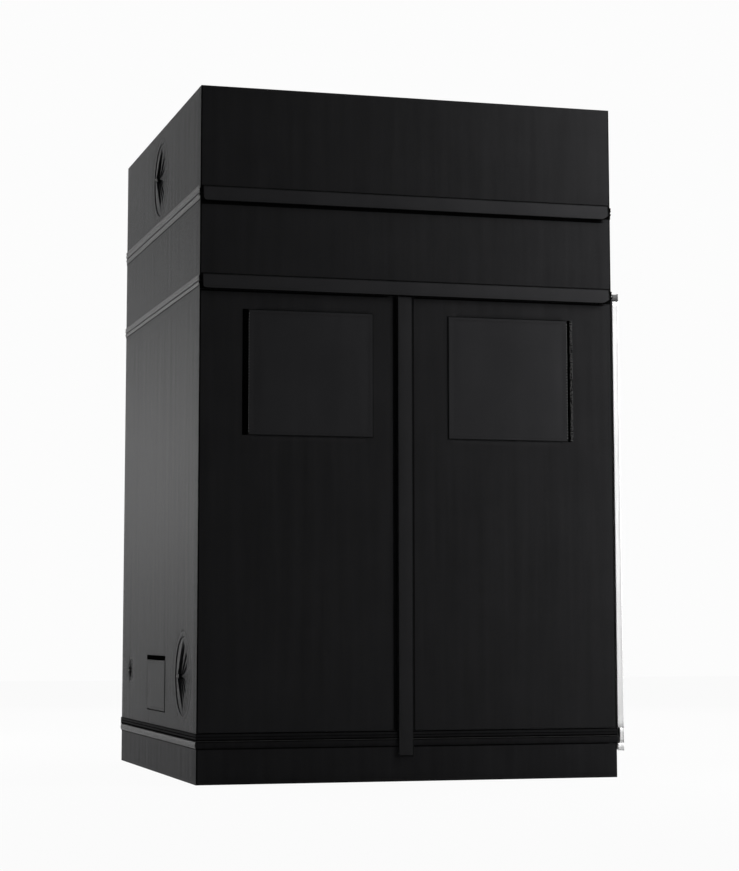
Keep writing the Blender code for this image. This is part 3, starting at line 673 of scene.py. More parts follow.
@dataclass(frozen=True)
class Hole:
    """A hole in a panel: a round one has two equal radii, and a square one has half sizes."""

    along: float
    up: float
    half_width: float
    half_height: float
    is_round: bool = False

    @classmethod
    def behind(cls, span: Span, margin: float, is_round: bool = False) -> "Hole":
        """Returns the hole behind a piece, smaller than it by a margin."""
        half_width = (span.height if is_round else span.width) / 2 - margin
        return cls(*span.middle, half_width, span.height / 2 - margin, is_round)

    @property
    def area(self) -> float:
        """The cloth that is cut out."""
        return (math.pi if self.is_round else 4) * self.half_width * self.half_height

    def marks(self) -> tuple[list[float], list[float]]:
        """Finds the grid lines that the hole's edges need.

        Returns:
            The lines along the wall and the lines up it.
        """
        if self.is_round:
            return [], []
        return (
            [self.along - self.half_width, self.along + self.half_width],
            [self.up - self.half_height, self.up + self.half_height],
        )

    def holds(self, along: float, up: float) -> bool:
        """Returns whether a place lies in the hole."""
        across, above = (along - self.along) / self.half_width, (up - self.up) / self.half_height
        return math.hypot(across, above) < 1 if self.is_round else max(abs(across), abs(above)) < 1


@dataclass
class Panel:
    """A stretched panel of canvas, lined on its inner face.

    Above one height and below another the cloth is painted dark, as the shadow beneath a flap's or
    a zip hem's edge and the shade along a flap's top, and each seam at a bent corner gets a line of
    painted shade.
    """

    node: str
    wall: Wall
    bent: tuple[bool, bool] = (False, False)
    holes: tuple[Hole, ...] = ()
    drape: Drape = field(default_factory=Drape)
    corner: float = 0.003
    seam_inset: float = 0.0042
    seam_width: float = 0.0036
    column_step: float = 0.0095
    row_step: float = 0.045
    round_row_step: float = 0.0152
    body: str = TENT
    stuff: Stuff = Stuff.CANVAS
    name: str = ""
    bottom: float = 0.0
    top: float = ABOVE_ALL
    shade_above: float = ABOVE_ALL
    shade_end: float = 0.022
    shade_end_fade: float = 0.02
    seam_shade: float = 1.1
    shade_below: float = 0.0
    fade: float = 0.002

    def span(self) -> Span:
        """Measures the panel's cloth, with a bent end counted as if it were flat.

        Returns:
            The cloth's reach.
        """
        span = self.wall.span(self.node)
        left, right = (self.corner * (math.pi / 2 - 1) if bent else 0.0 for bent in self.bent)
        bottom, top = max(span.bottom, self.bottom), min(span.top, self.top)
        return Span(span.left - left, span.right + right, bottom, top, span.inner, span.outer)

    def bend(self, along: float) -> Place:
        """Carries a place on the cloth round the wall's end.

        Args:
            along: The place on the flat cloth.

        Returns:
            The place along the wall and the distance out of it.
        """
        span = self.wall.span(self.node)
        side, end = (1, span.right) if along > span.middle[0] else (-1, span.left)
        past = side * (along - end) + self.corner
        if not self.bent[side > 0] or past <= 0:
            return along, 0.0
        turn = min(past / self.corner, math.pi / 2)
        return end - side * self.corner * (1 - math.sin(turn)), -self.corner * (1 - math.cos(turn))

    def relief(self, along: float, up: float) -> float:
        """Finds how far the cloth's face stands out of its wall.

        Args:
            along: The place on the flat cloth.
            up: The height.

        Returns:
            The distance out of the wall.
        """
        edge = self.span().edge(along, up)
        for hole in self.holes:
            if hole.is_round:
                edge = min(edge, math.hypot(along - hole.along, up - hole.up) - hole.half_width)
        return self.drape.out(along, up, max(0.0, edge))

    def shade(self, span: Span, along: float, up: float) -> float:
        """Finds how dark a place is.

        Args:
            span: The cloth's reach.
            along: The place on the flat cloth.
            up: The height.

        Returns:
            1 in the middle of a seam at a bent corner and beneath a flap's or zip's edge, and 0 on open cloth; the
            darkness is painted shade.
        """
        # Painted shadow above one height, beneath a flap's or zip hem's edge and thinning out near the right end;
        # painted shade below another, along a flap's top.
        beyond = smooth((span.right - self.shade_end - along) / self.shade_end_fade)
        shadowed = beyond * smooth((up - self.shade_above) / self.fade)
        dark = max(shadowed, smooth((self.shade_below - up) / self.fade))
        # A line of painted shade down the seam at each bent corner.
        for seam, bent in zip((span.left + self.seam_inset, span.right - self.seam_inset), self.bent):
            if bent:
                dark = max(dark, self.seam_shade * (1 - abs(along - seam) / self.seam_width))
        return dark

    def grid(self, span: Span) -> tuple[np.ndarray, np.ndarray]:
        """Lays the cloth's grid, with lines at its bends, seams, painted shade and holes.

        Args:
            span: The cloth's reach.

        Returns:
            The grid's columns and its rows.
        """
        arc = self.corner * math.pi / 2
        beside = (self.seam_inset, self.seam_inset + self.seam_width, self.seam_inset - self.seam_width)
        marks, levels = span.insets(beside)
        marks += span.insets([arc * share for share in (0.25, 0.5, 0.75, 1)])[0]
        for share in (0, 0.5, 1):
            levels += [self.shade_above + share * self.fade, self.shade_below - share * self.fade]
        for hole in self.holes:
            across, above = hole.marks()
            marks, levels = marks + across, levels + above
        row_step = self.round_row_step if any(hole.is_round for hole in self.holes) else self.row_step
        return lines(span.left, span.right, self.column_step, marks), lines(span.bottom, span.top, row_step, levels)

    def cut(self) -> bpy.types.Object:
        """Cuts the panel to its shape.

        Returns:
            The panel's cloth.
        """
        span = self.span()
        columns, rows = self.grid(span)
        flat, up = np.meshgrid(columns, rows)
        along, out, dark = (np.zeros_like(up) for _ in range(3))
        for index in np.ndindex(up.shape):
            along[index], back = self.bend(flat[index])
            out[index] = back + self.relief(flat[index], up[index])
            dark[index] = self.shade(span, flat[index], up[index])
        across, above = np.meshgrid((columns[1:] + columns[:-1]) / 2, (rows[1:] + rows[:-1]) / 2)
        keep = np.ones(across.shape, bool)
        for index in np.ndindex(keep.shape):
            keep[index] = not any(hole.holds(across[index], above[index]) for hole in self.holes)
        return grid_piece(
            f"{self.name or self.node}_cloth", self.wall.place(along, up, out), np.stack([flat, up], -1),
            self.stuff, Stuff.LINING, keep=keep, seam=dark,
        )

    def build(self, hems: Sequence[bpy.types.Object] = ()) -> None:
        """Makes the panel and sets it on its body, in place of its CAD node.

        Args:
            hems: Not used.
        """
        piece = give(self.cut(), self.body, "canvas", self.node)
        span = self.span()
        span.height
        span.width * span.height - sum(hole.area for hole in self.holes)
        log.info("%s stretched", piece.name)


@dataclass
class Canvas:
    """The cabin's fixed cloth: its walls, roof and floor."""

    port_margin: float = -0.009
    vent_margin: float = 0.018
    skirt_top: float = 0.1345
    slit: float = 0.0015
    # The heights above or below which panels are painted dark, as painted shade under zip hems and flaps and along
    # flaps' tops.
    skirt_facing: float = 0.1165
    wall_shade_above: float = 1.701
    band_shade_above: float = 2.0015
    front_band_shade_above: float = 1.988
    cap_shade_below: float = 2.0565
    band_shade_below: float = 1.7485
    turned_edge: float = 0.003
    roof_step: float = 0.04
    roof_sag: float = 0.0006
    roof_border: float = 0.06
    wrinkled: Drape = Drape(0.0009, 0.042, 0.35, 0.0016, 0.3, 0.03, 77.0)
    calm: Drape = Drape(0.0003, 0.042, 0.35, 0.0003, 0.3, 0.03, 77.0)

    def port_hole(self, node: str) -> Hole:
        """Returns the round hole behind a port's collar."""
        return Hole.behind(Wall.LEFT.span(node), self.port_margin, True)

    def build(self, hems: dict[str, list[bpy.types.Object]]) -> None:
        """Makes the walls, the roof and the floor.

        Args:
            hems: The hems along the edges of each panel that has some.
        """
        bands = [(f"{part}_{wall.name.lower()}", wall) for part in ("cap", "extension") for wall in Wall]
        shades_above = {node: self.band_shade_above for node, _ in bands if node.startswith("extension")}
        shades_above |= {"extension_front": self.front_band_shade_above, "back_wall": self.wall_shade_above}
        shades_below = {"cap_front": self.cap_shade_below, "extension_front": self.band_shade_below}
        for seed, (node, wall) in enumerate([*bands, ("back_wall", Wall.BACK)]):
            holes = (self.port_hole("duct_port_upper"),) if node == "cap_left" else ()
            Panel(
                node, wall, (wall.is_wide(),) * 2, holes, Drape(seed=3.7 * seed), bottom=self.skirt_top + self.slit,
                shade_above=shades_above.get(node, ABOVE_ALL), shade_below=shades_below.get(node, 0.0),
            ).build(hems.get(node, []))
        self.left_wall().build(hems["left_wall"])
        for wall in (Wall.FRONT, Wall.RIGHT, Wall.LEFT, Wall.BACK):
            name = f"skirt_{wall.name.lower()}"
            node = {Wall.LEFT: "left_wall", Wall.BACK: "back_wall"}.get(wall, name)
            Panel(
                node, wall, (wall.is_wide(),) * 2, drape=self.calm if wall is Wall.RIGHT else self.wrinkled,
                stuff=Stuff.SKIRT, name=name, top=ABOVE_ALL if name == node else self.skirt_top - self.slit,
                row_step=0.012, shade_above=self.skirt_facing,
            ).build(hems.get(name, []))
        for node in ("roof_panel", "floor_panel"):
            self.level_panel(node)

    def left_wall(self) -> Panel:
        """Lays out the wall with the ports.

        Returns:
            It, above its skirt.
        """
        vent = Hole.behind(Wall.LEFT.span("vent_cover"), self.vent_margin)
        holes = (self.port_hole("duct_port_lower"), self.port_hole("cable_port"), vent)
        return Panel(
            "left_wall", Wall.LEFT, holes=holes, drape=Drape(seed=37.0), bottom=self.skirt_top + self.slit,
            shade_above=self.wall_shade_above,
        )

    def level_panel(self, node: str) -> None:
        """Makes the roof, with its edges turned down over the walls, or the floor.

        Args:
            node: The CAD node that it stands for.
        """
        low, high = node_box(node)
        half, turned = high.x, self.turned_edge
        marks = [sign * (half - turned * share) for sign in (-1, 1) for share in (1, 0.75, 0.5, 0.25)]
        places = lines(-half, half, self.roof_step, marks)
        x, y = np.meshgrid(places, places)
        z = np.full_like(x, high.z)
        faces = (Stuff.LINING, Stuff.CANVAS)
        if low.z > 1:
            faces = (Stuff.CANVAS, Stuff.LINING)
            inset = half - np.maximum(np.abs(x), np.abs(y))
            drop = turned - np.sqrt(np.maximum(0.0, turned**2 - np.maximum(0.0, turned - inset) ** 2))
            waves = np.vectorize(lambda a, b: ripple(a * 3, b * 3, 5.0))(x, y)
            z = z - drop - self.roof_sag * (1 + waves) * np.clip((inset - turned) / self.roof_border, 0, 1)
        piece = grid_piece(f"{node}_cloth", np.stack([x, y, z], -1), np.stack([x, y], -1), *faces)
        give(piece, TENT, "canvas", node)
        log.info("%s laid", node)


def bead(low: float, high: float, proud: float, power: float = 0.8, steps: int = 8) -> list[Place]:
    """Returns a half-round bead's section without its two feet, fuller at less power, as places out and up."""
    turns = [index * math.pi / steps for index in range(1, steps)]
    return [(GAP + proud * math.sin(t) ** power, low + (high - low) * (1 - math.cos(t)) / 2) for t in turns]


def bar(low: float, high: float, far: float) -> list[Place]:
    """Returns the section of a flat bar that stands out of a wall, as places out and up."""
    return [(GAP, low), (far, low), (far, high), (GAP, high)]


@dataclass
class PerimeterZip:
    """A zip that runs right round the cabin: two hems, their tapes and a coil between them.

    Heights are counted from the zip's own level, and a mark is the middle and the width of a dark line
    along the hems, a line of painted shade in a groove.
    """

    node: str
    upper: float
    lower: float
    level: float
    upper_stuff: Stuff = Stuff.PIPING
    rise: float = 0.0
    front_proud: float = 0.0029
    upper_proud: float = 0.0030
    lower_proud: float = 0.0034
    valley: float = 0.0075
    valley_proud: float = 0.0008
    roll_fullness: float = 1.15
    small_bead: float = 0.0032
    lower_bead: float = 0.0085
    lower_tape: Place = (0.0009, 0.0011)
    rolled_edge: float = 0.0013
    slot: float = 0.0042
    # How dark the front side is painted, as painted shade.
    front_shade: float = 1.0
    foot_shade_line: Place = (0.0013, 0.0022)
    marks: tuple[Place, ...] = ()
    shade_line_proud: float = 0.0006
    tape_proud: float = 0.0007
    # Painted shade along the hems' edges.
    edge_shade: float = 0.6
    edge_width: float = 0.0012
    ridge: float = 0.0
    # The width of a pale line painted on the front as a highlight along the slot.
    thread: float = 0.0
    glint_proud: float = 0.0010
    wander: float = 0.0003
    front_turn: float = 0.006
    side_steps: int = 48
    corner_steps: int = 5

    def ring(self, out: float, height: float, seed: float, wave: float) -> np.ndarray:
        """Lays a line of places round the cabin.

        Args:
            out: The distance out of the walls.
            height: The height above the zip.
            seed: Sets the line's unevenness apart from others.
            wave: How far the line wanders.

        Returns:
            The places, in order round the cabin.
        """
        x, y = Wall.RIGHT.distance(), Wall.FRONT.distance()
        corners = ((1, -1), (1, 1), (-1, 1), (-1, -1))
        places = []
        for number, (side_x, side_y) in enumerate(corners):
            start = (number - 1) * math.pi / 2
            for step in range(self.corner_steps + 1):
                turn = start + step * math.pi / 2 / self.corner_steps
                places.append((side_x * x + out * math.cos(turn), side_y * y + out * math.sin(turn)))
            next_x, next_y = corners[(number + 1) % 4]
            ahead = start + math.pi / 2
            stop = (next_x * x + out * math.cos(ahead), next_y * y + out * math.sin(ahead))
            ends = list(zip(places[-1], stop))
            shares = [step / self.side_steps for step in range(1, self.side_steps)]
            places += [tuple(a + (b - a) * share for a, b in ends) for share in shares]
        made = np.array([(*place, self.level + height) for place in places])
        made[:, 1] = np.maximum(made[:, 1], -y - self.front_proud)
        raised = self.rise * max(0.0, height) / self.upper
        for place in made:
            shift = ripple(place[0] * 9, place[1] * 9, seed + self.level)
            place[2] += wave * shift + raised * smooth((place[1] + y) / self.front_turn)
        return made

    def band(
        self, part: str, profile: Sequence[Place], stuff: Stuff, seed: float, wave: float = 0.0,
        is_shade: bool = False,
    ) -> bpy.types.Object:
        """Sweeps a closed section round the cabin.

        Args:
            part: The part's name.
            profile: The section's corners, as distance out of the wall and height over the zip.
            stuff: What it is made of, away from the front, where it takes the darker, duller copy of the canvas as
                painted shade.
            seed: Sets its unevenness apart from others.
            wave: How far its edges wander.
            is_shade: Whether it is painted dark all over, as a line of painted shade.

        Returns:
            The new object.
        """
        rings = np.array([self.ring(out, height, seed, wave) for out, height in profile])
        levels = np.array([height for _, height in profile])
        around, up = np.meshgrid(reach_along(rings[0]), levels)
        front = -Wall.FRONT.distance()
        edge = np.minimum(levels - levels.min(), levels.max() - levels)
        # Painted shade along the hems' edges and over the whole front side.
        rim_shade = self.edge_shade * np.clip(1 - edge / self.edge_width, 0, 1)
        dark = np.maximum(rim_shade[:, None], self.front_shade * (rings[0][:, 1] < front + 0.0005)[None])
        piece = grid_piece(
            f"{self.node}_{part}", rings, np.stack([around, up], -1), stuff, thickness=0,
            seam=1.0 if is_shade else dark, wrap=(True, True),
        )
        # The front faces take a darker, duller copy of the canvas: painted shade on the side that faces the front.
        piece.data.materials.append(Stuff.SKIRT.material())
        for face in piece.data.polygons:
            face.material_index = int(face.center.y < front + 0.001)
        return give(piece, TENT, "zip", *([self.node] if part == "upper_hem" else []))

    def upper_section(self) -> list[Place]:
        """Draws the upper hem's section: a roll with a small bead above it, or a plain rolled band.

        Returns:
            Places as out and up.
        """
        bottom, top = self.slot / 2, self.upper
        if self.rise:
            valley = top - self.valley
            roll = bead(bottom, valley, self.roll_fullness * self.upper_proud, 0.7)
            dip = (GAP + self.valley_proud, valley)
            return [(GAP, bottom), *roll, dip, *bead(valley, top, self.small_bead), (GAP, top)]
        turns = [index * math.pi / 8 for index in range(5)]
        edge, flat = self.rolled_edge, GAP + self.upper_proud - self.rolled_edge
        lower = [(flat + edge * math.sin(t), bottom + edge - edge * math.cos(t)) for t in turns]
        upper = [(flat + edge * math.cos(t), top - edge + edge * math.sin(t)) for t in turns]
        return [(GAP, bottom), *lower, *upper, (GAP, top)]

    def lower_section(self) -> list[Place]:
        """Draws the lower hem's section: one round ridge, or a flat tape with a bead along its top.

        Returns:
            Places as out and up.
        """
        bottom, top = -self.lower, -self.slot / 2
        if self.ridge:
            return [(GAP, bottom), *bead(bottom, top, self.ridge, steps=14), (GAP, top)]
        foot = top - self.lower_bead
        thin, thick = self.lower_tape
        tape = [(GAP, bottom), (GAP + thin, bottom + 0.0002), (GAP + thick, foot - 0.0003)]
        return [*tape, *bead(foot, top, self.lower_proud), (GAP, top)]

    def build(self) -> tuple[bpy.types.Object, bpy.types.Object]:
        """Makes the hems, the tape and the coil.

        Returns:
            The upper hem and the lower one.
        """
        half = self.slot / 2
        upper = self.band("upper_hem", self.upper_section(), self.upper_stuff, 1.0, self.wander)
        lower = self.band("lower_hem", self.lower_section(), Stuff.PIPING, 2.0, self.wander)
        self.band("tape", bar(-half, half, self.tape_proud), Stuff.TAPE, 3.0)
        # Dark lines of painted shade: one beneath the lower hem and one in each groove that the marks give.
        below, thick = self.foot_shade_line
        for number, (middle, width) in enumerate(((-self.lower - below, thick), *self.marks)):
            far = GAP + self.tape_proud if middle < -self.lower else self.upper_proud + self.shade_line_proud
            line = bar(middle - width / 2, middle + width / 2, far)
            self.band(f"line_{number}", line, Stuff.HOOK, 4.0 + number, self.wander, True)
        # A pale line painted on the front as a highlight along the slot; on the other sides the same line is dark,
        # painted shade in the slot.
        if self.thread:
            line = bar(-self.thread / 2, self.thread / 2, self.lower_proud + self.glint_proud)
            self.band("thread", line, Stuff.HOOK, 9.0).data.materials[1] = Stuff.PALE.material()
        self.coil()
        log.info("%s run round the cabin", self.node)
        return upper, lower

    def coil(self) -> None:
        """Makes the coil's teeth, one after another round the cabin."""
        line = self.ring(self.tape_proud, 0.0, 3.0, 0.0)
        closed = np.vstack([line, line[:1]])
        around = reach_along(closed)
        marks = np.arange(0, around[-1], PITCH)
        middles = np.stack([np.interp(marks, around, closed[:, axis]) for axis in range(3)], -1)
        ahead = np.roll(middles, -1, 0) - middles
        ahead /= np.linalg.norm(ahead, axis=1)[:, None]
        teeth(f"{self.node}_coil", middles, ahead, np.cross(ahead, UP), TENT)


def teeth(
    name: str, middles: np.ndarray, ahead: np.ndarray, outward: np.ndarray, body: str,
    size: tuple[float, float, float] = (0.0016, 0.0028, 0.0009), stuff: Stuff = Stuff.NYLON,
) -> bpy.types.Object:
    """Makes a coil's teeth, or a row of stitches, as small bevelled bars.

    Args:
        name: The piece's name.
        middles: Where each tooth stands.
        ahead: The way along the zip, for each tooth.
        outward: The way out of the cloth, for each tooth.
        body: The body that they ride on.
        size: A tooth's size along, across and out.
        stuff: What they are made of.

    Returns:
        The teeth as one object.
    """
    across = np.cross(outward, ahead)
    corners, faces = [], []
    for level, shrink in ((0.0, 1.0), (0.7, 1.0), (1.0, 0.6)):
        for side, over in ((-1, -1), (1, -1), (1, 1), (-1, 1)):
            step = side * shrink * size[0] / 2 * ahead + over * shrink * size[1] / 2 * across
            corners.append(middles + step + level * size[2] * outward)
    quads = [(3, 2, 1, 0), (8, 9, 10, 11)]
    quads += [(a + low, (a + 1) % 4 + low, (a + 1) % 4 + low + 4, a + low + 4) for low in (0, 4) for a in range(4)]
    for start in range(0, len(corners) * len(middles), len(corners)):
        faces += [tuple(start + corner for corner in quad) for quad in quads]
    return give(put(name, np.stack(corners, 1), faces, stuff.material()), body, "zip")


@dataclass
class Stitching:
    """Rows of stitches, gathered by body so that each body's thread is one piece."""

    pitch: float = 0.0042
    length: float = 0.0029
    width: float = 0.0008
    proud: float = 0.0005
    sunk: float = 0.0001
    stuff: Stuff = Stuff.THREAD
    rows: dict[str, list[tuple[np.ndarray, np.ndarray, np.ndarray]]] = field(default_factory=dict)

    def sew(self, body: str, wall: Wall, path: Sequence[Place], out: Ground) -> None:
        """Adds a row of stitches along a path on a wall.

        Args:
            body: The body that the thread rides on.
            wall: The wall.
            path: Places as along and up.
            out: How far the cloth's face stands out of the wall at a place.
        """
        corners = np.array(path, float)
        reach = reach_along(corners)
        marks = np.arange(self.pitch / 2, reach[-1], self.pitch)
        along, up = (np.interp(marks, reach, corners[:, axis]) for axis in range(2))
        far = [out(*place) - self.sunk for place in zip(along, up)]
        pieces = np.clip(np.searchsorted(reach, marks) - 1, 0, len(reach) - 2)
        steps = np.diff(corners, axis=0)[pieces] / np.diff(reach)[pieces][:, None]
        side, outward = wall.axes()
        ahead = steps[:, :1] * side + steps[:, 1:] * UP
        middles = wall.place(along, up, np.array(far))
        self.rows.setdefault(body, []).append((middles, ahead, np.repeat(outward[None], len(marks), 0)))

    def frame(self, body: str, wall: Wall, span: Span, inset: float, out: Ground) -> None:
        """Adds a row round a rectangle.

        Args:
            body: The body that the thread rides on.
            wall: The wall.
            span: The rectangle.
            inset: How far inside its edge the row runs.
            out: How far the cloth's face stands out of the wall at a place.
        """
        row = span.grown(-inset)
        low, high, bottom, top = row.left, row.right, row.bottom, row.top
        self.sew(body, wall, [(low, bottom), (high, bottom), (high, top), (low, top), (low, bottom)], out)

    def build(self) -> None:
        """Makes each body's thread."""
        for body, rows in self.rows.items():
            middles, ahead, outward = (np.concatenate(part) for part in zip(*rows))
            size = (self.length, self.width, self.proud)
            piece = teeth(f"{self.stuff.value.name}_{body}", middles, ahead, outward, body, size, self.stuff)
            log.info("%s: %d stitches", piece.name, len(middles))


@dataclass(frozen=True)
class Lamp:
    """A soft white area light."""

    name: str
    spot: tuple[float, float, float]
    target: tuple[float, float, float]
    size: tuple[float, float]
    power: float

    def build(self) -> None:
        """Puts the lamp into the scene."""
        data = bpy.data.lights.new(self.name, "AREA")
        data.shape = "RECTANGLE"
        data.size, data.size_y = self.size
        data.energy = self.power
        lamp = bpy.data.objects.new(self.name, data)
        lamp.location = self.spot
        lamp.visible_camera = False
        lamp.rotation_euler = (Vector(self.target) - lamp.location).to_track_quat("-Z", "Y").to_euler()
        bpy.context.scene.collection.objects.link(lamp)


@dataclass(frozen=True)
class Studio:
    """The camera at the photograph's place, a pale floor, a pale surround and soft lamps."""

    spot: tuple[float, float, float] = (-2.29146, -8.41514, 0.53522)
    yaw: float = 15.563
    pitch: float = 6.781
    roll: float = -0.049
    lens: float = 94.134
    shift: tuple[float, float] = (0.00262, -0.09304)
    surround: float = 0.974
    fill: float = 0.004
    floor_glow: float = 1.0
    glow_share: float = 0.95
    floor_half: float = 14.0
    floor_level: float = -0.001
    lamps: tuple[Lamp, ...] = (
        Lamp("left_window", (-4.8, 2.6, 1.6), (-0.76, 0.0, 1.3), (3.4, 2.4), 165.0),
        Lamp("front_strip", (1.85, -1.5, 3.0), (0.3, -0.76, 1.5), (0.9, 0.9), 43.0),
        Lamp("front_low", (2.0, -1.6, 1.1), (0.4, -0.76, 0.9), (0.5, 1.2), 18.0),
        Lamp("left_rear", (-2.3, 3.0, 1.35), (-0.76, 0.6, 1.3), (1.2, 1.0), 33.0),
        Lamp("rear_window", (1.5, 5.6, 2.8), (0.0, 0.76, 1.3), (4.0, 4.0), 110.0),
        Lamp("right_window", (5.4, 1.6, 2.6), (0.76, 0.0, 1.3), (4.0, 4.0), 105.0),
        Lamp("skylight", (0.0, 0.9, 5.5), (0.0, 0.9, 2.4), (3.0, 3.0), 50.0),
    )

    def camera(self) -> None:
        """Sets the camera."""
        data = bpy.data.cameras.new("photograph_view")
        data.sensor_width = 36.0
        data.lens = self.lens
        data.shift_x, data.shift_y = self.shift
        data.clip_end = 100.0
        camera = bpy.data.objects.new("photograph_view", data)
        turn = Matrix.Rotation(-math.radians(self.yaw), 4, "Z")
        turn = turn @ Matrix.Rotation(math.radians(90 + self.pitch), 4, "X")
        turn = turn @ Matrix.Rotation(math.radians(self.roll), 4, "Z")
        camera.matrix_world = Matrix.Translation(self.spot) @ turn
        bpy.context.scene.collection.objects.link(camera)
        bpy.context.scene.camera = camera

    def world(self) -> None:
        """Makes the pale surround."""
        sketch = Sketch(bpy.data.worlds.new("surround"))
        back = sketch.tree.nodes["Background"]
        back.inputs["Color"].default_value = (1.0, 1.0, 1.0, 1.0)
        sketch.join(sketch.ranged(sketch.seen(), 0.0, 1.0, self.fill, self.surround), back.inputs["Strength"])
        bpy.context.scene.world = sketch.data

    def floor(self) -> None:
        """Lays the floor, which glows where it is seen and not where it lights the scene."""
        sketch = Sketch(bpy.data.materials.new("studio_floor"))
        glow = sketch.add("Emission", {"Color": (1.0, 1.0, 1.0, 1.0), "Strength": self.floor_glow}).outputs[0]
        share = sketch.math("MULTIPLY", sketch.seen(), self.glow_share)
        plain = sketch.tree.nodes["Principled BSDF"].outputs[0]
        mixed = sketch.add("MixShader", {0: share, 1: plain, 2: glow}).outputs[0]
        sketch.join(mixed, sketch.tree.nodes["Material Output"].inputs["Surface"])
        material = sketch.settle(Base_Color=(0.55, 0.55, 0.55, 1.0), Roughness=0.9)
        half, level = self.floor_half, self.floor_level
        corners = [(-half, -half, level), (half, -half, level), (half, half, level), (-half, half, level)]
        put("studio_floor", np.array(corners), [(0, 1, 2, 3)], material)

    def build(self) -> None:
        """Sets up the camera, the lamps, the surround and the floor."""
        self.camera()
        self.world()
        self.floor()
        for lamp in self.lamps:
            lamp.build()
        bpy.context.scene.view_settings.view_transform = "Standard"


@dataclass
class Port:
    """A round port whose sleeve is drawn shut into deep radial pleats round a puckered mouth.

    Each fold is its angle in degrees, how high its ridge stands and how deep the valley after it is.
    """

    node: str
    proud: float
    mouth: float
    sunk: float = 0.0036
    depth: float = 0.048
    collar: float = 0.018
    folds: tuple[tuple[float, float, float], ...] = (
        (-178, 1.0, 0.05), (-150, 1.0, 0.05), (-122, 1.0, 0.06), (-96, 1.12, 0.34), (-74, 0.56, 0.24),
        (-54, 0.36, 0.14), (-34, 0.2, 0.06), (-14, 0.12, 0.03), (1, 0.55, 0.03), (16, 0.12, 0.14), (38, 0.26, 0.26),
        (60, 0.5, 0.42), (97, 1.12, 0.06), (124, 1.0, 0.05), (152, 1.0, 0.05),
    )
    fullness: float = 1.45
    blank: float = 1.9
    overlap: float = 0.0015
    steps: int = 360
    rings: int = 40
    rim_steps: int = 120
    rim_wander: float = 0.0005
    crease: float = 0.0008
    sway: float = 0.06
    nub_steps: int = 36
    nub_folds: int = 7
    nub_proud: float = 0.45
    seed: float = 0.0

    @property
    def radius(self) -> float:
        """The port's radius."""
        return Wall.LEFT.span(self.node).height / 2

    def height(self, share: float, turn: float) -> float:
        """Finds how far the pleated cloth stands out.

        Args:
            share: How far from the mouth, 0, to the rim, 1.
            turn: The angle round the port.

        Returns:
            The distance out of the wall.
        """
        spread = self.radius * share
        across, above = math.cos(turn), math.sin(turn)
        lean = ripple(across * 1.3, above * 1.3, self.seed + share * 1.1)
        degrees = (math.degrees(turn) + 7 * lean + 178) % 360 - 178
        after = next((index for index, fold in enumerate(self.folds) if fold[0] > degrees), 0)
        (start, high, deep), (stop, higher, _) = self.folds[after - 1], self.folds[after]
        past = (degrees - start) / ((stop - start) % 360)
        own = 0.85 + 0.4 * ripple(after * 3.3, self.seed, 0.5)
        fade = smooth((0.3 + 0.95 * math.sqrt(deep * own) - share) / 0.4)
        if degrees < 0:
            high, higher, past = higher, high, 1 - past
        notch = (past - 0.45) / 0.35 if past < 0.8 else (1 - past) / 0.2
        valley = self.depth * deep * own * (0.45 + 0.55 * smooth(share / 0.2)) * fade * smooth(notch)
        cone = (self.proud + self.sunk) * (high + (higher - high) * past**5) * (1 - share) ** 1.05
        crease = self.crease * ripple(across * spread * 70, above * spread * 70, self.seed)
        return cone - self.sunk - valley + crease * smooth((1 - share) * 5)

    def lay(self, reach: np.ndarray, turns: np.ndarray, out: np.ndarray) -> tuple[np.ndarray, np.ndarray]:
        """Lays places round the port's middle.

        Args:
            reach: How far each place is from the middle.
            turns: The angle of each place.
            out: How far each place stands out of the wall.

        Returns:
            The places in space, and the same places on the flat wall.
        """
        middle = Wall.LEFT.span(self.node).middle
        along, up = middle[0] + reach * np.cos(turns), middle[1] + reach * np.sin(turns)
        return Wall.LEFT.place(along, up, out), np.stack([along, up], -1)

    def build(self) -> None:
        """Makes the sleeve, its collar and the tuft at its mouth."""
        radius = self.radius
        rim = 1 + self.overlap / radius
        shares = rim * (self.mouth / radius) ** (1 - np.arange(self.rings + 1) / self.rings)
        turns, share = np.meshgrid(np.arange(self.steps) * 2 * math.pi / self.steps, shares)
        out = np.vectorize(self.height)(np.minimum(1.0, share / rim), turns)
        swirl = turns + self.sway * np.sin(3 * turns + self.seed) * (1 - share)
        places, cloth = self.lay(radius * share, swirl, out)
        sleeve = grid_piece(
            f"{self.node}_sleeve", places[::-1], cloth[::-1], Stuff.CANVAS, Stuff.LINING, 0.0006, wrap=(False, True)
        )
        give(sleeve, TENT, "canvas", self.node)
        self.rim(radius)
        self.nub()
        log.info("%s gathered", self.node)

    def rim(self, radius: float) -> bpy.types.Object:
        """Makes the flat collar round the port.

        Args:
            radius: The port's radius.

        Returns:
            The collar.
        """
        far, deep = radius + self.collar, -self.sunk - 0.0012
        profile = [
            (far, 0.00002), (far - 0.0006, 0.0003), (radius + self.collar / 2, 0.0004), (radius + 0.0012, 0.0005),
            (radius + 0.0003, 0.0002), (radius, -0.0005), (radius, deep), (radius + 0.0025, deep),
            (radius + 0.0025, -0.0002),
        ]
        turns = np.arange(self.rim_steps) * 2 * math.pi / self.rim_steps
        wander = [self.rim_wander * ripple(math.cos(turn) * 14, math.sin(turn) * 14, self.seed) for turn in turns]
        reach, out = (np.array(column)[:, None] for column in zip(*profile))
        places, _ = self.lay(reach + np.array(wander), turns, out)
        cloth = np.stack(np.meshgrid(turns * radius, np.linspace(0, 2 * self.collar, len(profile))), -1)
        piece = grid_piece(f"{self.node}_rim", places, cloth, Stuff.CANVAS, thickness=0, wrap=(True, True))
        return give(piece, TENT, "canvas")

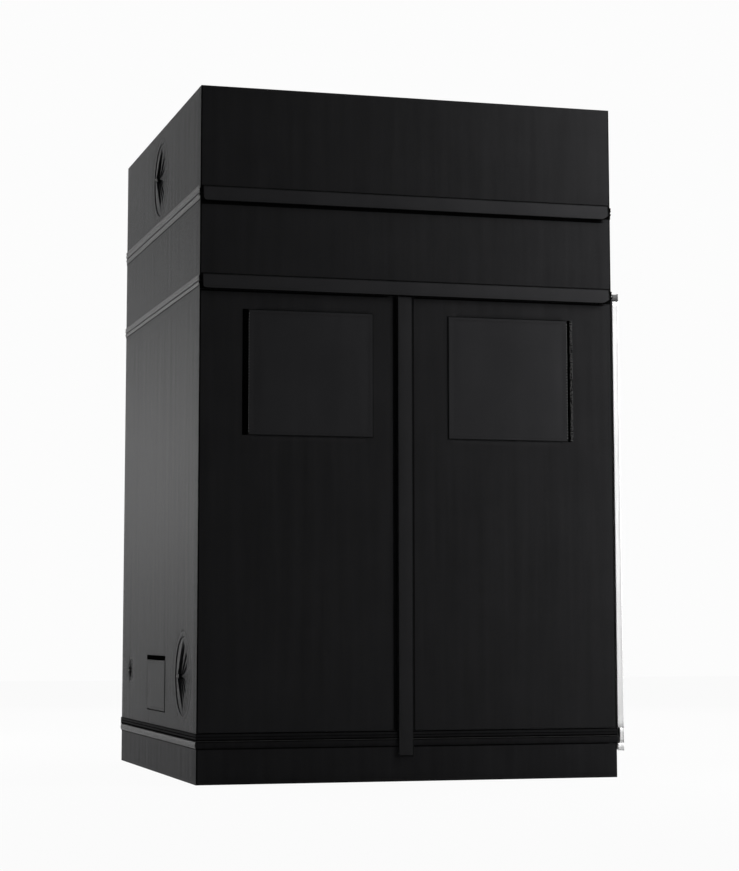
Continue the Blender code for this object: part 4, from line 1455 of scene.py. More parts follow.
    def nub(self) -> bpy.types.Object:
        """Makes the tuft of gathered cloth at the mouth.

        Returns:
            The tuft.
        """
        around = np.arange(self.nub_steps) * 2 * math.pi / self.nub_steps
        turns, share = np.meshgrid(around, np.linspace(0, 1, 9))
        fold = 1 + 0.16 * np.sin(turns * self.nub_folds + self.seed) * np.vectorize(smooth)(share * 2)
        waist = 1 - 0.25 * np.sin(math.pi * np.minimum(1.0, share * 1.6))
        size = self.mouth * 0.75 * (1 - 0.82 * share**2.2) * waist
        out = self.proud - 0.002 + self.proud * self.nub_proud * share
        places, cloth = self.lay(size * fold, turns, out)
        # The tuft is in the pale cord: partly its own colour, partly a painted highlight at the mouth.
        piece = grid_piece(f"{self.node}_nub", places, cloth, Stuff.CORD, thickness=0.0008, wrap=(False, True))
        return give(piece, TENT, "canvas")


def hook_strip(name: str, wall: Wall, span: Span, body: str, ground: Ground, worn: float = 0.0) -> None:
    """Makes a strip of hook tape with a bristly face.

    Args:
        name: The piece's name.
        wall: The wall that it is sewn to.
        span: Its reach.
        body: The body that it rides on.
        ground: How far the cloth beneath it stands out of the wall at a place.
        worn: How much of its width is speckled with light fluff, from its right edge.
    """
    step, bristle = 0.0022, 0.0004
    along, up = np.meshgrid(lines(span.left, span.right, step), lines(span.bottom, span.top, step))
    rough = np.vectorize(lambda a, b: ripple(a * 700, b * 700, 4.0))(along, up)
    out = span.outer - bristle + bristle * rough
    out[0], out[-1], out[:, 0], out[:, -1] = (GAP + 0.0002,) * 4
    out += np.vectorize(ground)(along, up)
    fluff = np.vectorize(lambda a, b: ripple(a * 210, b * 210, 7.0))(along, up)
    # Away from the speckled part the tape is painted black: painted shade over the hook tape's own dark grey. The
    # speckle is its light fluff.
    dark = np.where(along > span.right - worn * span.width, np.clip(0.5 - 2.4 * fluff, 0, 1), 1.0)
    cloth = np.stack([along, up], -1)
    give(grid_piece(name, wall.place(along, up, out), cloth, Stuff.HOOK, thickness=0.0002, seam=dark), body, "zip")


@dataclass(frozen=True)
class Flap:
    """A hemmed piece of cloth with rounded corners, which stands for a CAD node and rides on its body.

    Its corners are the radii at the lower left, lower right, upper right and upper left. Its cut
    takes a slope off the lower right corner, so far along and so far up.
    """

    node: str
    wall: Wall
    out: Ground
    slot: str = "flap_canvas"
    stuff: Stuff = Stuff.FLAP
    corners: tuple[float, float, float, float] = (0.0, 0.0, 0.0, 0.0)
    cut: Place = (0.0, 0.0)
    thickness: float = CANVAS
    steps: tuple[float, float] = (0.012, 0.012)
    hems: tuple[float, ...] = ()
    edge: float = 0.0018
    edge_drop: float = 0.6
    # The outline is a band of painted shade along the flap's edges.
    outline: float = 0.0034
    outline_shade: float = 0.95

    def grid(self, span: Span) -> tuple[np.ndarray, np.ndarray]:
        """Lays the flap's grid, with lines at its rolled edge, hems and corners.

        Args:
            span: The flap's reach.

        Returns:
            The grid's columns and its rows.
        """
        insets = [0.35 * self.edge, self.edge, 1.5 * self.edge, 0.004, *self.hems]
        insets += [radius * (1 - math.sin(step * math.pi / 12)) for radius in self.corners for step in range(1, 6)]
        marks, levels = span.insets(insets)
        marks += [span.right - self.cut[0] * share for share in (0.25, 0.5, 0.75, 1)]
        across, above = self.steps
        return lines(span.left, span.right, across, marks), lines(span.bottom, span.top, above, levels)

    def trim(self, span: Span, along: float, up: float) -> Place:
        """Draws a place in to the flap's rounded and cut corners.

        Args:
            span: The flap's reach.
            along: The place along the wall.
            up: The height.

        Returns:
            Where the place comes to lie.
        """
        middle = span.middle
        side, over = (1 if along > middle[0] else -1), (1 if up > middle[1] else -1)
        radius = dict(zip(((-1, -1), (1, -1), (1, 1), (-1, 1)), self.corners))[side, over]
        straight, upright = span.width / 2 - radius, span.height / 2 - radius
        far_x, far_z = abs(along - middle[0]) - straight, abs(up - middle[1]) - upright
        if radius and far_x > 0 and far_z > 0:
            scale = max(far_x, far_z) / math.hypot(far_x, far_z)
            along = middle[0] + side * (straight + far_x * scale)
            up = middle[1] + over * (upright + far_z * scale)
        past = along - span.right + self.cut[0]
        if self.cut[0] and past > 0:
            raised = self.cut[1] * (past / self.cut[0]) ** 1.1
            up = span.top - (span.top - up) * (1 - raised / span.height)
        return along, up

    def build(self) -> None:
        """Makes the flap."""
        span = self.wall.span(self.node)
        along, up = np.meshgrid(*self.grid(span))
        face, dark = np.zeros_like(along), np.zeros_like(along)
        for index in np.ndindex(face.shape):
            place = self.trim(span, along[index], up[index])
            along[index], up[index] = place
            inset = span.edge(*place)
            # Painted shade along the flap's edges, for the dark line that its raised edge shows.
            dark[index] = self.outline_shade * (1 - smooth(inset / self.outline - 0.15))
            roll = 1 - min(1.0, max(0.0, inset) / self.edge)
            drop = self.edge_drop * self.thickness * (1 - math.sqrt(max(0.0, 1 - roll * roll)))
            face[index] = self.out(*place) - drop
        piece = grid_piece(
            f"{self.node}_cloth", self.wall.place(along, up, face), np.stack([along, up], -1), self.stuff,
            thickness=self.thickness, seam=dark,
        )
        give(piece, self.node, self.slot, self.node)
        span.height
        log.info("%s hung", piece.name)


@dataclass
class Vent:
    """The screened vent: a net over its hole, a cover that hangs from its foot, a hook strip, and a dark strip
    under the cover's foot painted as its shadow.
    """

    strand: float = 0.0007
    mesh_size: float = 0.0042
    thickness: float = 0.0028
    corner: float = 0.006
    hem: float = 0.009
    hem_proud: float = 0.0003
    hem_lines: tuple[float, ...] = (0.0065, 0.0085, 0.0105, 0.0125)
    row: float = 0.0095
    strip: float = 0.0178
    strip_proud: float = 0.0018
    foot_start: float = 0.004
    foot_shadow: float = 0.0034
    foot_proud: float = 0.0014
    openness: float = 0.5

    def build(self, stitching: Stitching, ground: Ground) -> None:
        """Makes the net, the cover, the hook strip and the dark strip painted as the cover's shadow under its foot.

        Args:
            stitching: Where the rows of stitches go.
            ground: How far the wall's cloth stands out at a place.
        """
        wall, node = Wall.LEFT, "vent_cover"
        self.net(wall)
        cover = wall.span(node)

        def out(along: float, up: float) -> float:
            """Returns how far the cover's face stands out at a place."""
            hem = self.hem_proud * (1 - smooth((cover.edge(along, up) - self.hem) / HEM_FADE))
            return ground(along, up) + GAP + CANVAS + hem

        Flap(
            node, wall, out, "canvas", Stuff.CANVAS, (0.0, 0.0, self.corner, self.corner),
            thickness=self.thickness, hems=self.hem_lines,
        ).build()
        stitching.frame(node, wall, cover, self.row, out)
        strip = Span(cover.left, cover.right, cover.top + GAP, cover.top + self.strip, GAP, self.strip_proud)
        hook_strip("vent_hook_strip", wall, strip, TENT, ground)
        # A dark strip under the cover's foot: painted shadow of the cover's bottom edge.
        low, high = cover.bottom - self.foot_shadow, cover.bottom - GAP
        foot = Span(cover.left + self.foot_start, cover.right, low, high, GAP, self.foot_proud)
        hook_strip("vent_foot_tape", wall, foot, node, ground)
        log.info("vent covered")

    def net(self, wall: Wall) -> None:
        """Makes the net of the vent from its upright and its level strands.

        Args:
            wall: The wall that holds the vent.
        """
        span = wall.span("vent_mesh")
        half, middle = self.strand / 2, (span.inner + span.outer) / 2
        points, faces = [], []
        for is_up, first, last, ends in (
            (True, span.left, span.right, (span.bottom, span.top)),
            (False, span.bottom, span.top, (span.left, span.right)),
        ):
            lift = 0.125 * (half if is_up else -half)
            for place in np.linspace(first, last, int((last - first) / self.mesh_size) + 1):
                start = len(points)
                for end in ends:
                    for side, depth in ((-half, 0), (0, half * 0.2), (half, 0), (0, -half * 0.2)):
                        spot = (place + side, end) if is_up else (end, place + side)
                        points.append(wall.place(*spot, middle + lift + depth))
                sides = ((0, 1), (1, 2), (2, 3), (3, 0))
                faces += [(start + a, start + b, start + 4 + b, start + 4 + a) for a, b in sides]
        net = give(put("vent_net", np.array(points), faces, Stuff.MESH.material()), TENT, "mesh", "vent_mesh")
        span.height
        self.openness * span.width * span.height


@dataclass(frozen=True)
class Hinge:
    """An upright axis that a leaf has been turned about, away from its closed place."""

    x: float
    y: float
    degrees: float

    def turn(self, points: np.ndarray) -> np.ndarray:
        """Returns closed places as they are once the leaf is turned."""
        middle = np.array((self.x, self.y, 0.0))
        return (points - middle) @ np.array(Matrix.Rotation(math.radians(self.degrees), 3, "Z")).T + middle


def rounded(width: float, height: float, radius: float, per_corner: int = 3) -> list[Place]:
    """Draws a rounded rectangle about its middle.

    Args:
        width: Its first size.
        height: Its second size.
        radius: Its corners' radius.
        per_corner: How many steps each corner takes.

    Returns:
        Its corners, in order.
    """
    corners = []
    for quarter, (side, over) in enumerate(((1, 1), (-1, 1), (-1, -1), (1, -1))):
        for step in range(per_corner + 1):
            turn = (quarter + step / per_corner) * math.pi / 2
            across = side * (width / 2 - radius) + radius * math.cos(turn)
            corners.append((across, over * (height / 2 - radius) + radius * math.sin(turn)))
    return corners


@dataclass
class Ribbon:
    """A strip that follows a path on a wall: a binding, a roll or a tape."""

    wall: Wall
    body: str
    slot: str = "canvas"
    stuff: Stuff = Stuff.CANVAS
    width: float = 0.008
    proud: float = 0.0012
    wander: float = 0.0002
    hinge: Hinge | None = None

    def lay(
        self, name: str, path: Sequence[Place], out: Ground, step: float = 0.012, closed: bool = False
    ) -> bpy.types.Object:
        """Makes the strip.

        Args:
            name: The piece's name.
            path: Places as along and up.
            out: The distance out of the wall of the strip's back at a place.
            step: The widest spacing between two sections.
            closed: Whether the strip meets itself.

        Returns:
            The new object.
        """
        corners = [np.array(place, float) for place in path]
        line = []
        for start, stop in zip(corners, corners[1:] + corners[:closed]):
            count = max(1, math.ceil(np.linalg.norm(stop - start) / step))
            line += [start + (stop - start) * index / count for index in range(count)]
        line = np.array(line if closed else [*line, corners[-1]])
        ahead = np.roll(line, -1, 0) - np.roll(line, 1, 0)
        if not closed:
            ahead[0], ahead[-1] = line[1] - line[0], line[-1] - line[-2]
        ahead /= np.linalg.norm(ahead, axis=1)[:, None]
        side = np.stack([-ahead[:, 1], ahead[:, 0]], -1)
        profile = np.array(rounded(self.width, self.proud, min(self.width, self.proud) * 0.48))
        uneven = [self.wander * ripple(along * 40, up * 40, 2.0) for along, up in line]
        backs = [out(*spot) + self.proud / 2 + shift for spot, shift in zip(line, uneven)]
        along, up = np.moveaxis(line[:, None] + side[:, None] * profile[None, :, :1], -1, 0)
        made = self.wall.place(along, up, np.array(backs)[:, None] + profile[:, 1])
        if self.hinge:
            made = self.hinge.turn(made)
        if not closed:
            return swept_piece(name, made, self.stuff, self.body, self.slot)
        girth = np.linspace(0, 2 * self.width, len(profile))
        cloth = np.stack(np.meshgrid(girth, reach_along(line)), -1)[..., ::-1]
        piece = grid_piece(name, made, cloth, self.stuff, thickness=0, wrap=(True, True))
        return give(piece, self.body, self.slot)


def swept_piece(name: str, sections: np.ndarray, stuff: Stuff, body: str, slot: str) -> bpy.types.Object:
    """Makes a closed bar by joining sections from end to end.

    Args:
        name: The piece's name.
        sections: The sections' corners, by section and corner, with x, y and z last.
        stuff: What it is made of.
        body: The body that it rides on.
        slot: The material slot, handed on to give.

    Returns:
        The new object.
    """
    count, corners = sections.shape[:2]
    index = np.arange(count * corners).reshape(count, corners)
    after = np.roll(index, -1, 1)
    faces = np.stack([index[:-1], after[:-1], after[1:], index[1:]], -1).reshape(-1, 4).tolist()
    faces += [index[0][::-1].tolist(), index[-1].tolist()]
    cloth = np.stack(np.meshgrid(reach_along(sections[0]), reach_along(sections.mean(1))), -1)[..., ::-1]
    return give(put(name, sections, faces, stuff.material(), cloth), body, slot)


def rounded_path(span: Span, radius: float) -> list[Place]:
    """Returns the corners of a rectangle with rounded ends on a wall, as places along and up, in order."""
    outline = rounded(span.width, span.height, radius, 5)
    return [(span.middle[0] + across, span.middle[1] + over) for across, over in outline]


@dataclass
class FrontDoor:
    """One half of the front: its leaf, its window with a cover, and its half of the centre zip.

    Its sign is -1 for the half on the left and 1 for the one on the right.
    """

    side: str
    sign: int
    margin: float = 0.022
    window_corner: float = 0.012
    cover_corner: float = 0.006
    binding: float = 0.014
    hem: float = 0.011
    hem_proud: float = 0.0004
    hem_lines: tuple[float, ...] = (0.0085, 0.0105, 0.0125, 0.0145)
    row: float = 0.0115
    row_end: float = 0.012
    pale_row: float = 0.0024
    pale_end: float = 0.008
    pale_stitch: tuple[float, float, float, float] = (0.0105, 0.0052, 0.0022, 0.0008)
    strip: float = 0.0198
    strip_proud: float = 0.0018
    speckled: float = 0.48
    # Above this height the leaf is painted dark, as the lower storm flap's shadow.
    shade_above: float = 1.6835
    zip_tape: float = 0.014
    zip_end: float = 0.004
    hinge_row: float = 0.017
    zip_row: float = 0.0115
    tooth: tuple[float, float, float] = (0.0015, 0.0026, 0.0012)

    @property
    def node(self) -> str:
        """The leaf's node."""
        return f"door_{self.side}"

    def ends(self, span: Span) -> Place:
        """Returns a piece's end towards the centre zip and its end towards the door's hinge."""
        return (span.right, span.left) if self.sign < 0 else (span.left, span.right)

    def build(self, stitching: Stitching) -> None:
        """Makes the leaf and all that rides on it.

        Args:
            stitching: Where the rows of stitches go.
        """
        wall = Wall.FRONT
        cover = wall.span(f"window_cover_{self.side}")
        opening = cover.grown(-self.margin)
        leaf = Panel(
            self.node, wall, (self.sign < 0, self.sign > 0), (Hole.behind(cover, self.margin),),
            Drape(seed=40.0 + self.sign, slack=0.0012), body=self.node, shade_above=self.shade_above,
        )
        lap = self.binding * 0.35
        binding = Ribbon(wall, self.node, width=self.binding, proud=0.0007).lay(
            f"window_binding_{self.side}", rounded_path(opening.grown(lap), self.window_corner + lap),
            lambda along, up: leaf.relief(along, up) - 0.0004, closed=True,
        )
        leaf.build([binding, *self.zip_half(leaf)])
        self.cover(leaf, cover, stitching)
        self.stitch_leaf(leaf, opening, stitching)

    def cover(self, leaf: Panel, span: Span, stitching: Stitching) -> None:
        """Makes the window's cover and the strip that holds its free edge.

        Args:
            leaf: The door's leaf.
            span: The cover's reach.
            stitching: Where the rows of stitches go.
        """
        wall, node = Wall.FRONT, f"window_cover_{self.side}"
        soft = Drape(0.00025, 0.05, 0.4, 0.0012, 0.22, 0.05, seed=60.0 + self.sign)

        def out(along: float, up: float) -> float:
            """Returns how far the cover's face stands out at a place."""
            edge = span.edge(along, up)
            hem = self.hem_proud * (1 - smooth((edge - self.hem) / HEM_FADE))
            return leaf.relief(along, up) + GAP + CANVAS + hem + soft.out(along, up, edge)

        left, right = (self.cover_corner, 0.0) if self.sign < 0 else (0.0, self.cover_corner)
        Flap(node, wall, out, corners=(left, right, right, left), hems=self.hem_lines).build()
        _, hinge = self.ends(span)
        edge = hinge - self.sign * self.pale_row
        pale = Stitching(*self.pale_stitch, stuff=Stuff.PALE)
        pale.sew(node, wall, [(edge, span.bottom + self.pale_end), (edge, span.top - self.pale_end)], out)
        for up in (span.top - self.row, span.bottom + self.row):
            stitching.sew(node, wall, [(span.left + self.row_end, up), (span.right - self.row_end, up)], out)
        pale.build()
        # The hook strip beside the cover's free edge, painted black as the cover edge's shadow, with a band of
        # light fluff on the right door.
        start, stop = sorted((hinge + self.sign * GAP, hinge + self.sign * self.strip))
        strip = Span(start, stop, span.bottom, span.top, GAP, self.strip_proud)
        worn = 0.0 if self.sign < 0 else self.speckled
        hook_strip(f"window_strip_{self.side}", wall, strip, self.node, leaf.relief, worn)

    def zip_half(self, leaf: Panel) -> list[bpy.types.Object]:
        """Makes this door's half of the centre zip.

        Args:
            leaf: The door's leaf.

        Returns:
            The tape and the teeth.
        """
        wall, span = Wall.FRONT, leaf.span()
        free, _ = self.ends(span)
        middle = free + self.sign * self.zip_tape / 2
        tape = Ribbon(wall, self.node, "zip", Stuff.TAPE, self.zip_tape, 0.0005).lay(
            f"zip_tape_{self.side}", [(middle, span.bottom + self.zip_end), (middle, span.top - self.zip_end)],
            lambda along, up: leaf.relief(along, up) + 0.00005, step=0.03,
        )
        ups = np.arange(span.bottom + 0.006, span.top - 0.006, PITCH) + (PITCH / 2 if self.sign > 0 else 0.0)
        middles = wall.place(np.full_like(ups, free - self.sign * 0.0006), ups, np.full_like(ups, 0.0001))
        ahead, outward = (np.tile(way, (len(ups), 1)) for way in (UP, wall.axes()[1]))
        return [tape, teeth(f"zip_teeth_{self.side}", middles, ahead, outward, self.node, self.tooth)]

    def stitch_leaf(self, leaf: Panel, opening: Span, stitching: Stitching) -> None:
        """Sews the leaf: round its window, down its zip and along its hinge.

        Args:
            leaf: The door's leaf.
            opening: The window.
            stitching: Where the rows of stitches go.
        """
        wall, span = Wall.FRONT, leaf.span()
        stitching.frame(self.node, wall, opening, -0.010, lambda along, up: leaf.relief(along, up) + 0.0004)
        free, hinge = self.ends(span)
        for place in (free + self.sign * self.zip_row, hinge - self.sign * self.hinge_row):
            path = [(place, span.bottom + self.zip_end), (place, span.top - self.zip_end)]
            stitching.sew(self.node, wall, path, leaf.relief)


@dataclass
class SewnFlap:
    """What the flaps over the zips share: a rolled seam, from which the cloth stands clear of the wall."""

    node: str
    seed: float
    corner: float = 0.02
    hem: float = 0.009
    seam: float = 0.0045
    lift: float = 0.0031
    row: float = 0.0035
    lean_power: float = 1.3
    sunk: float = 0.0008
    hem_proud: float = 0.0005
    hem_fade: float = 0.003

    def face(self, free: float, reach: float, swing: float) -> float:
        """Finds how far the flap's face stands out, before its bulge.

        Args:
            free: How far a place is from the seam, 0, to the free edge, 1.
            reach: The distance from the free edge.
            swing: How far the free edge swings out there.

        Returns:
            The distance out of the wall.
        """
        lean = Wall.FRONT.span(self.node).outer - self.lift - CANVAS
        hem = self.hem_proud * (1 - smooth((reach - self.hem) / self.hem_fade))
        return self.lift + CANVAS + lean * free**self.lean_power - self.sunk + free * free * swing + hem

    def sew_down(self, seam: Sequence[Place], rows: Iterable[Sequence[Place]], stitching: Stitching) -> None:
        """Makes the roll along the seam, and adds the flap's stitches.

        Args:
            seam: Where the roll runs, as along and up.
            rows: Where each row of stitches runs.
            stitching: Where the rows of stitches go.
        """
        ribbon = Ribbon(Wall.FRONT, self.node, "flap_canvas", Stuff.FLAP, self.seam, self.lift - GAP - 0.0001)
        roll = ribbon.lay(f"{self.node}_roll", seam, lambda along, up: GAP, step=0.05)
        for row in rows:
            stitching.sew(self.node, Wall.FRONT, row, self.out)
        log.info("%s sewn on with %s", self.node, roll.name)


@dataclass
class StormFlap(SewnFlap):
    """A flap sewn above a perimeter zip, which hangs clear of the wall and hides the zip."""

    stand: float = 0.0045
    bulge: float = 0.0011
    cut: Place = (0.028, 0.016)
    row_ends: Place = (0.014, 0.03)

    def out(self, along: float, up: float) -> float:
        """Finds how far the flap's face stands out.

        Args:
            along: The place along the wall.
            up: The height.

        Returns:
            The distance out of the wall.
        """
        span = Wall.FRONT.span(self.node)
        share, level = span.shares(along, up)
        drop = 1 - level
        swing = 0.0012 * ripple(share * 9, level * 0.6, self.seed)
        swing += 0.0005 * ripple(share * 31, level * 1.5, self.seed + 4)
        bulge = self.bulge * math.sin(math.pi * min(1.0, drop * 1.15))
        return self.face(drop, up - span.bottom, swing) + self.stand * drop**1.2 + bulge

    def build(self, stitching: Stitching) -> None:
        """Makes the flap and sews it down.

        Args:
            stitching: Where the rows of stitches go.
        """
        wall = Wall.FRONT
        span = wall.span(self.node)
        corners = (self.corner, 0.0, 0.0, 0.0)
        Flap(self.node, wall, self.out, corners=corners, cut=self.cut, steps=(0.02, 0.006)).build()
        seam, levels = span.top - self.seam / 2, (span.top - self.row, span.bottom + self.hem)
        rows = [[(span.left + self.row_ends[0], up), (span.right - self.row_ends[1], up)] for up in levels]
        self.sew_down([(span.left + 0.002, seam), (span.right - 0.002, seam)], rows, stitching)


@dataclass
class CentreFlap(SewnFlap):
    """The upright flap over the centre zip, sewn to the right door along its right edge."""

    node: str = "centre_flap"
    seed: float = 21.0
    corner: float = 0.018
    hem: float = 0.010
    foot: float = 0.1745
    bulge: float = 0.0016
    edge_tape: float = 0.0060
    beside: float = 0.0034

    def out(self, along: float, up: float) -> float:
        """Finds how far the flap's face stands out.

        Args:
            along: The place along the wall.
            up: The height.

        Returns:
            The distance out of the wall.
        """
        span = Wall.FRONT.span(self.node)
        share, level = span.shares(along, up)
        swing = 0.0014 * ripple(level * 7, share, self.seed)
        swing += 0.0005 * ripple(level * 24, share * 2, self.seed + 4)
        return self.face(1 - share, along - span.left, swing) + self.bulge * math.sin(math.pi * share) ** 0.8

    def build(self, stitching: Stitching) -> None:
        """Makes the flap, sews it down, and lays the dark tape beside it.

        Args:
            stitching: Where the rows of stitches go.
        """
        wall = Wall.FRONT
        span = wall.span(self.node)
        corners = (self.corner, 0.0, 0.0, 0.0)
        Flap(self.node, wall, self.out, stuff=Stuff.PLACKET, corners=corners, steps=(0.005, 0.02)).build()
        seam, beside, top = span.right - self.seam / 2, span.right + self.beside, span.top - 0.002
        rows = [
            [(place, span.bottom + 0.006), (place, span.top - 0.006)]
            for place in (span.right - self.row, span.left + self.hem)
        ]
        self.sew_down([(seam, self.foot), (seam, top)], rows, stitching)
        Ribbon(wall, "door_right", "canvas", Stuff.TAPE, self.edge_tape, 0.0010).lay(
            f"{self.node}_edge", [(beside, self.foot), (beside, top)], lambda along, up: 0.0019, step=0.05
        )


@dataclass
class SideDoor:
    """The door in the right wall, which stands a little open: black outside and white inside.

    A white lip turns in from its front edge, with a cuff and a neck below it and a tab above. Each
    is its name, its lower and upper ends, its depth and what it is made of.
    """

    node: str = "side_door"
    hinge: Hinge = Hinge(0.7646, 0.757, 0.8515)
    leaf: Span = Span(-0.757, 0.757, 0.0925, 1.731)
    face: float = 0.0046
    room: float = 0.0034
    hem: float = 0.020
    hem_proud: float = 0.0012
    drape: Drape = Drape(0.0004, 0.035, 0.9, 0.001, 0.4, 0.05, 90.0)
    lips: tuple[tuple[str, float, float, float, Stuff], ...] = (
        ("lip", 0.1735, 1.703, 0.0205, Stuff.WHITE),
        ("cuff", 0.0935, 0.1195, 0.0205, Stuff.WHITE),
        ("neck", 0.1197, 0.1733, 0.012, Stuff.WHITE),
        ("tab", 1.709, 1.7285, 0.0205, Stuff.PALE),
    )

    def stand(self, along: float, up: float = 0.0) -> float:
        """Returns how far the leaf's face stands out, clear of the hems that it closes over."""
        return self.face + self.room * smooth(min(along - self.leaf.left, self.leaf.right - along) / 0.06)

    def build(self) -> None:
        """Makes the leaf, its hems and its lip."""
        leaf = self.leaf
        columns = lines(leaf.left, leaf.right, 0.0095, [leaf.left + 0.001, leaf.left + 0.004])
        along, up = np.meshgrid(columns, lines(leaf.bottom, leaf.top, 0.04, [leaf.top - self.hem]))
        out = np.vectorize(lambda a, b: self.stand(a) + self.drape.out(a, b, leaf.edge(a, b)))(along, up)
        places = self.hinge.turn(Wall.RIGHT.place(along, up, out))
        piece = grid_piece(f"{self.node}_cloth", places, np.stack([along, up], -1), Stuff.CANVAS, Stuff.WHITE)
        give(piece, self.node, "canvas", self.node)
        leaf.height
        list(self.hems())
        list(self.lip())
        log.info("%s hung ajar", self.node)

    def lip(self) -> list[bpy.types.Object]:
        """Makes the white lip, its cuff, its neck and its tab.

        Returns:
            The four pieces.
        """
        made = []
        for name, bottom, top, depth, stuff in self.lips:
            up, share = np.meshgrid(lines(bottom, top, 0.02), np.linspace(0, 1, 7), indexing="ij")
            wave = share * np.vectorize(lambda high, far: ripple(high * 5, far * 2, 33.0))(up, share)
            along = self.leaf.left - 0.0007 + 0.0015 * np.vectorize(smooth)(share / 0.3) + 0.0002 * wave
            out = self.face + self.hem_proud - (CANVAS + self.hem_proud + depth) * share - 0.0006 * wave
            places = self.hinge.turn(Wall.RIGHT.place(along, up, out))
            cloth = np.stack([out, up], -1)
            piece = grid_piece(f"{self.node}_{name}", places[::-1], cloth[::-1], stuff, thickness=0.0006)
            made.append(give(piece, self.node, "canvas"))
        return made

    def hems(self) -> list[bpy.types.Object]:
        """Makes the hems along the top and the front edge.

        Returns:
            The two hems.
        """
        leaf, half = self.leaf, self.hem / 2
        across, upright = leaf.top - half, leaf.left + half
        strip = Ribbon(Wall.RIGHT, self.node, "canvas", Stuff.CANVAS, self.hem, self.hem_proud, 0.0001, self.hinge)
        return [
            strip.lay(f"{self.node}_{name}", path, lambda along, up: self.stand(along) + 0.0001, step=0.04)
            for name, path in (
                ("top_hem", [(leaf.left + 0.001, across), (leaf.right - 0.001, across)]),
                ("front_hem", [(upright, leaf.bottom + 0.001), (upright, leaf.top - self.hem - 0.001)]),
            )
        ]


@dataclass
class SpillTray:
    """The loose tray of coated cloth on the floor, with a rolled rim."""

    node: str = "spill_tray"
    wall: float = 0.0012
    corner: float = 0.020
    bend: float = 0.008
    foot: float = 0.010
    rim: float = 0.0016
    slack: float = 0.0008
    step: float = 0.03

    def base(self, half: float) -> np.ndarray:
        """Lays places round the tray.

        Args:
            half: Half of the tray's width.

        Returns:
            The places, in order round the tray.
        """
        outline = rounded(2 * half, 2 * half, self.corner, 6)
        places = []
        for start, stop in zip(outline, [*outline[1:], outline[0]]):
            count = max(1, math.ceil(math.dist(start, stop) / self.step))
            places += [tuple(a + (b - a) * part / count for a, b in zip(start, stop)) for part in range(count)]
        return np.array(places)

    def build(self) -> None:
        """Makes the tray from rings, from its middle out and up its sides."""
        low, high = node_box(self.node)
        half, top = high.x - 0.0004, high.z - self.rim
        floor, foot = low.z + self.wall, low.z + self.foot
        base, side = self.base(half), 1 - self.wall / half
        flat = [(share, floor) for share in (0.001, 0.003, 0.01, 0.3, 0.6, 0.85, 0.96)]
        for turn in (0.3, 0.7, 1.1, 1.4):
            flat.append((side - self.bend / half * (1 - math.sin(turn)), floor + self.bend * (1 - math.cos(turn))))
        sides = [(side, foot + (top - foot) * share) for share in (0, 0.35, 0.7, 1)]
        rings, cloth = [], []
        for row, (share, height) in enumerate([*flat, *sides], 1 - len(flat)):
            slack = [[1 + ripple(x * 6, y * 6, height * 20)] for x, y in base]
            inward = 1 - self.slack * np.array(slack) if row > 0 else 1.0
            rings.append(np.concatenate([base * share * inward, np.full((len(base), 1), height)], 1))
            cloth.append(base * (share + max(0, row) * 0.01))
        shell = grid_piece(
            f"{self.node}_shell", np.array(rings)[::-1], np.array(cloth)[::-1], Stuff.COATED, Stuff.COATED,
            self.wall, wrap=(False, True),
        )
        give(shell, TENT, "tray", self.node)
        rim = self.rolled_rim(base, half, top)
        log.info("%s laid", self.node)

    def rolled_rim(self, base: np.ndarray, half: float, top: float) -> bpy.types.Object:
        """Makes the tray's rolled rim.

        Args:
            base: Places round the tray.
            half: Half of the tray's width.
            top: The height of the rim's middle.

        Returns:
            The rim.
        """
        turns = [index * math.pi / 4 for index in range(8)]
        roll = []
        for x, y in base:
            way = np.array((x, y, 0.0))
            spot = way * (1 - self.rim / half) + UP * top
            if abs(abs(x) - abs(y)) > self.corner:
                way[np.argmin(np.abs(way[:2]))] = 0.0
            way /= np.linalg.norm(way)
            roll.append([spot + self.rim * (way * math.cos(turn) + UP * math.sin(turn)) for turn in turns])
        cloth = np.zeros((len(base), len(turns), 2))
        rim = grid_piece(f"{self.node}_rim", np.array(roll), cloth, Stuff.COATED, thickness=0, wrap=(True, True))
        return give(rim, TENT, "tray")


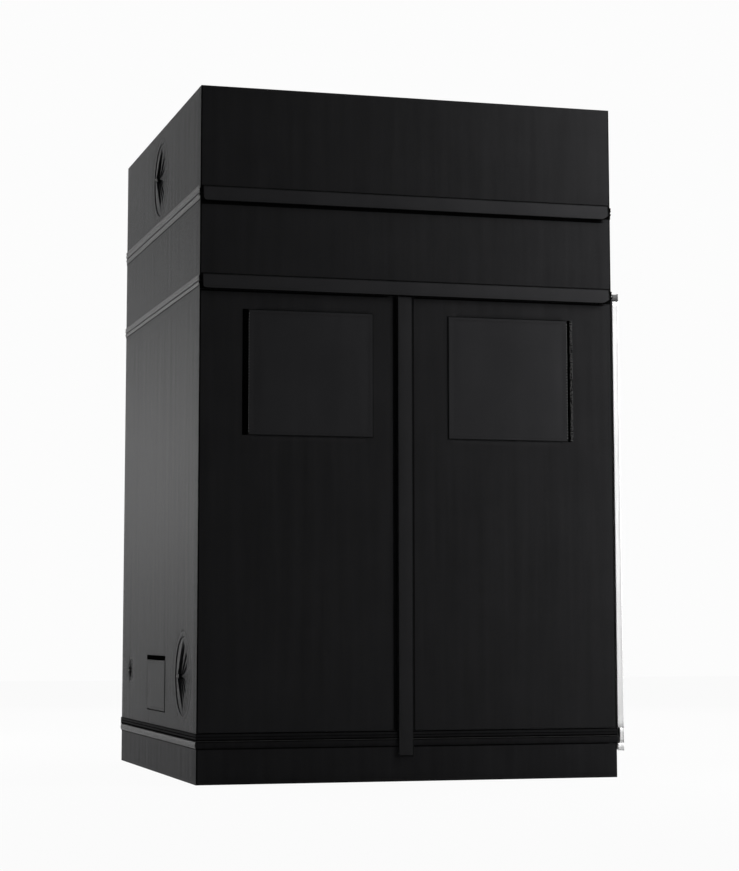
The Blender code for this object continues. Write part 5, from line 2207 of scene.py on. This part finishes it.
@dataclass(frozen=True)
class HardFinishes:
    """What each rigid CAD node is made of, by the start of its name."""

    finishes: tuple[tuple[Stuff, tuple[str, ...]], ...] = (
        (Stuff.CASTING, ("base_corner", "top_corner")),
        (Stuff.ENAMEL, ("base_rail", "top_rail", "post", "extension_post", "hanging_bar")),
        (Stuff.GUNMETAL, ("zip_slider",)),
        (Stuff.FILM, ("window_pane",)),
    )

    def paint(self, nodes: dict[str, bpy.types.Object]) -> None:
        """Gives each rigid node its finish.

        Args:
            nodes: The CAD nodes by name.
        """
        for name, node in nodes.items():
            for stuff, starts in self.finishes:
                if name.startswith(starts):
                    for place in node.material_slots:
                        place.material = stuff.material()
                    log.info("%s finished in %s", name, stuff.value.name)


def main() -> None:
    """Builds the tent's looks in order, and reports each piece."""
    logging.basicConfig(level=logging.INFO, format="%(name)s: %(message)s")
    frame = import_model()
    log.info("frame loaded: %d nodes", len(frame["nodes"]))
    Studio().build()
    stitching = Stitching()
    cap_hem, band_top_hem = PerimeterZip("zip_upper", 0.0189, 0.0215, 2.0275, rise=0.0105).build()
    band_foot_hem, wall_hem = PerimeterZip("zip_lower", 0.0189, 0.0145, 1.7195, rise=0.0035).build()
    # On the base zip the front is painted darker as shade, the marks are lines of painted shade in the tape's
    # grooves, and the thread is a painted highlight along the slot.
    ridge_tape, skirt_hem = PerimeterZip(
        "zip_base", 0.0255, 0.0240, 0.1455, Stuff.TAPE, front_proud=0.0055, front_shade=0.25, ridge=0.0042,
        thread=0.0016, marks=((0.0247, 0.0016), (0.0143, 0.0024), (0.0042, 0.0042)),
    ).build()
    canvas = Canvas()
    canvas.build({
        "cap_front": [cap_hem],
        "extension_front": [band_top_hem, band_foot_hem],
        "left_wall": [wall_hem, ridge_tape],
        "skirt_front": [skirt_hem],
    })
    Port("duct_port_upper", 0.0170, 0.007, seed=1.0).build()
    Port("duct_port_lower", 0.0170, 0.007, seed=2.3).build()
    Port(
        "cable_port", 0.0075, 0.0035, 0.0028, 0.009, 0.007, seed=3.1, steps=144,
        folds=((-178, 1.0, 0.1), (-100, 1.0, 0.4), (-45, 0.2, 0.2), (0, 0.1, 0.2), (50, 0.2, 0.4), (104, 1.0, 0.1)),
    ).build()
    Vent().build(stitching, canvas.left_wall().relief)
    FrontDoor("left", -1).build(stitching)
    FrontDoor("right", 1).build(stitching)
    StormFlap("storm_flap_upper", 11.0).build(stitching)
    StormFlap("storm_flap_lower", 17.0).build(stitching)
    CentreFlap().build(stitching)
    SideDoor().build()
    SpillTray().build()
    stitching.build()
    HardFinishes().paint(frame["nodes"])


if __name__ == "__main__":
    main()
